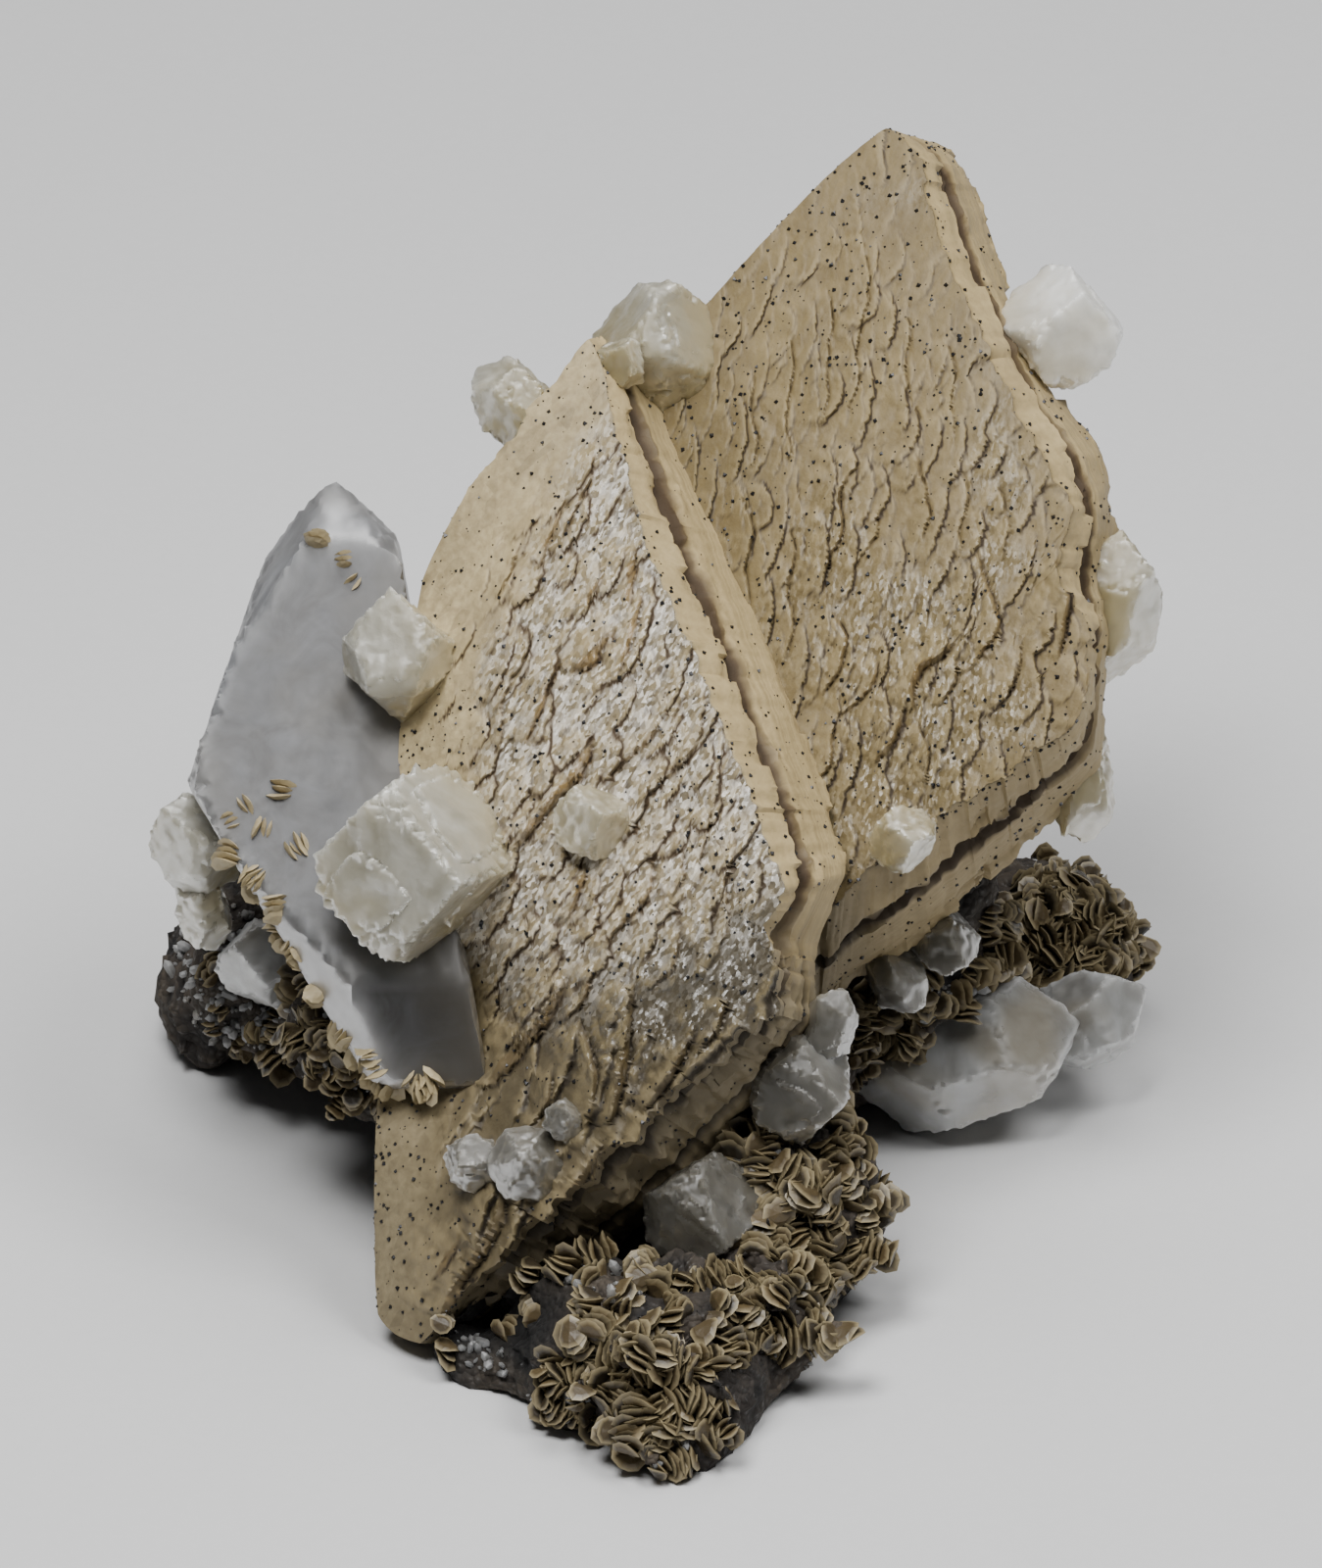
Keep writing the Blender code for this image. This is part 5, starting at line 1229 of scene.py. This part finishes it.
def speckFinish():
    # tiny black sulphide crystals, with a dull metal shine
    finish, _, shader, _ = startMaterial("black sulphide, fine grains")
    shader.inputs["Base Color"].default_value = linear("#222224")
    shader.inputs["Roughness"].default_value = 0.35
    shader.inputs["Metallic"].default_value = 0.5
    return finish


def floorFinish():
    finish, tree, shader, place = startMaterial("studio floor, matt paper")
    fibre = addNode(tree, "ShaderNodeTexNoise", {"Scale": 900.0, "Detail": 2.0, "Vector": place})
    colour = layered(tree, "#C4C4C4", (fibre.outputs["Fac"], (0.0, 1.0), (0.0, 1.0), "#C8C8C8"))
    tree.links.new(colour, shader.inputs["Base Color"])
    shader.inputs["Roughness"].default_value = 0.9
    return finish


def solidOf(names):
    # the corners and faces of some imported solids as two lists
    points, faces = [], []
    for name in names:
        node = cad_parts[name]
        faces += [[corner + len(points) for corner in polygon.vertices] for polygon in node.data.polygons]
        points += [node.matrix_world @ vertex.co for vertex in node.data.vertices]
    return points, faces


def buildSiderites(finish):
    surfaces = {}
    for plan in (frontSiderite, rearSiderite):
        points, faces, marks = sideriteSurface(plan)
        points[:, 2] = np.maximum(points[:, 2], 0.6 * mm)
        addPiece(plan["name"] + "_plates", points, faces, finish, [plan["name"]], marks, sharp=40)
        surfaces[plan["name"]] = (points, marks)
    return surfaces


# The lights: turned so far round from the camera, lifted so far, how far off and how wide in metres, in watts.
lightPlan = {"key": (-30, 68, 0.6, 0.24, 4.6), "side": (58, 60, 0.6, 0.24, 2.6), "top": (170, 66, 0.6, 0.4, 1.6)}


def buildStage():
    # a pale floor, a large soft key light from the upper left, a fill from the right and a light from above
    floor = bpy.data.meshes.new("floor")
    floor.from_pydata([(-3, -3, 0), (3, -3, 0), (3, 3, 0), (-3, 3, 0)], [], [(0, 1, 2, 3)])
    ground = bpy.data.objects.new("floor", floor)
    floor.materials.append(floorFinish())
    bpy.context.scene.collection.objects.link(ground)
    focus = Vector(onStage(0.0, 0.0, 0.0))
    for name, (turn, lift, far, wide, power) in lightPlan.items():
        light = bpy.data.lights.new(name, "AREA")
        light.size = wide
        light.energy = power
        lamp = bpy.data.objects.new(name, light)
        turn, lift = math.radians(turn), math.radians(lift)
        back = Vector((math.sin(turn) * math.cos(lift), -math.cos(turn) * math.cos(lift), math.sin(lift)))
        lamp.location = focus + back * far
        lamp.rotation_euler = back.to_track_quat("Z", "Y").to_euler()
        bpy.context.scene.collection.objects.link(lamp)
    world = bpy.data.worlds.new("studio")
    world.use_nodes = True
    world.node_tree.nodes["Background"].inputs["Color"].default_value = linear("#E9EDF2")
    world.node_tree.nodes["Background"].inputs["Strength"].default_value = 0.06
    bpy.context.scene.world = world


def buildCamera():
    # looks straight along the front view; the long side of the picture shows fieldTall millimetres
    lens = bpy.data.cameras.new("camera")
    lens.sensor_width = 36.0
    lens.lens = 36.0 * view["distance"] / view["fieldTall"]
    lens.clip_start, lens.clip_end = 0.05, 20.0
    camera = bpy.data.objects.new("camera", lens)
    bpy.context.scene.collection.objects.link(camera)
    back = heading(0, 0, 1)
    camera.location = Vector(onStage(0.55, 1.1, 0.0)) + back * view["distance"] * mm
    camera.rotation_euler = back.to_track_quat("Z", "Y").to_euler()
    bpy.context.scene.camera = camera


print("siderites")
siderites = buildSiderites(sideriteFinish())
print("quartz")
shelter = BVHTree.FromPolygons(*solidOf(["siderite_front", "siderite_rear"]))
milky, smoky, icy, frosted, shaded, bright = (quartzFinish(look) for look in quartzLooks)
looks = {"quartz_right_top": bright, "quartz_under_front": shaded, "quartz_corner": shaded,
         "quartz_low_face": shaded, "quartz_under_rear": shaded}
blade = growTabularQuartz(smoky, shelter)
bladeTree = BVHTree.FromPolygons([v.co for v in blade.data.vertices], [p.vertices for p in blade.data.polygons])
for pieceName, crystals in quartzWhite.items():
    growQuartz(pieceName, crystals, looks.get(pieceName, milky), shelter)
for pieceName, crystals in quartzGrey.items():
    growQuartz(pieceName, crystals, frosted, shelter)
print("rock")
rockPoints, rockFaces, rockMarks = rockSurface(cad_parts["matrix"], shelter)
rock = addPiece("rock_surface", rockPoints, [rockFaces], rockFinish(), ["matrix"], rockMarks)
rockTree = BVHTree.FromPolygons(rockPoints.tolist(), rockFaces.tolist())
rockNormals = np.zeros(len(rockPoints) * 3, np.float32)
rock.data.vertex_normals.foreach_get("vector", rockNormals)
print("small siderites")
growLenses(rockTree, bladeTree, (rockPoints, rockNormals.reshape(-1, 3).astype(float)), lensFinish())
growDruse(rockTree, icy)
print("specks")
black = speckFinish()
for plan in (frontSiderite, rearSiderite):
    name = plan["name"]
    points, marks = siderites[name]
    density = 0.35 + 1.2 * np.clip(1 - np.abs(marks["level"] - 0.015) / 0.03, 0, 1) * (marks["band"] > 0)
    density = density * (marks["hollow"] < 0.5) * (points[:, 2] > 2 * mm)
    growSpecks(name + "_specks", points, specksOn[name], density, black, plan["seed"])
print("stage")
buildStage()
buildCamera()
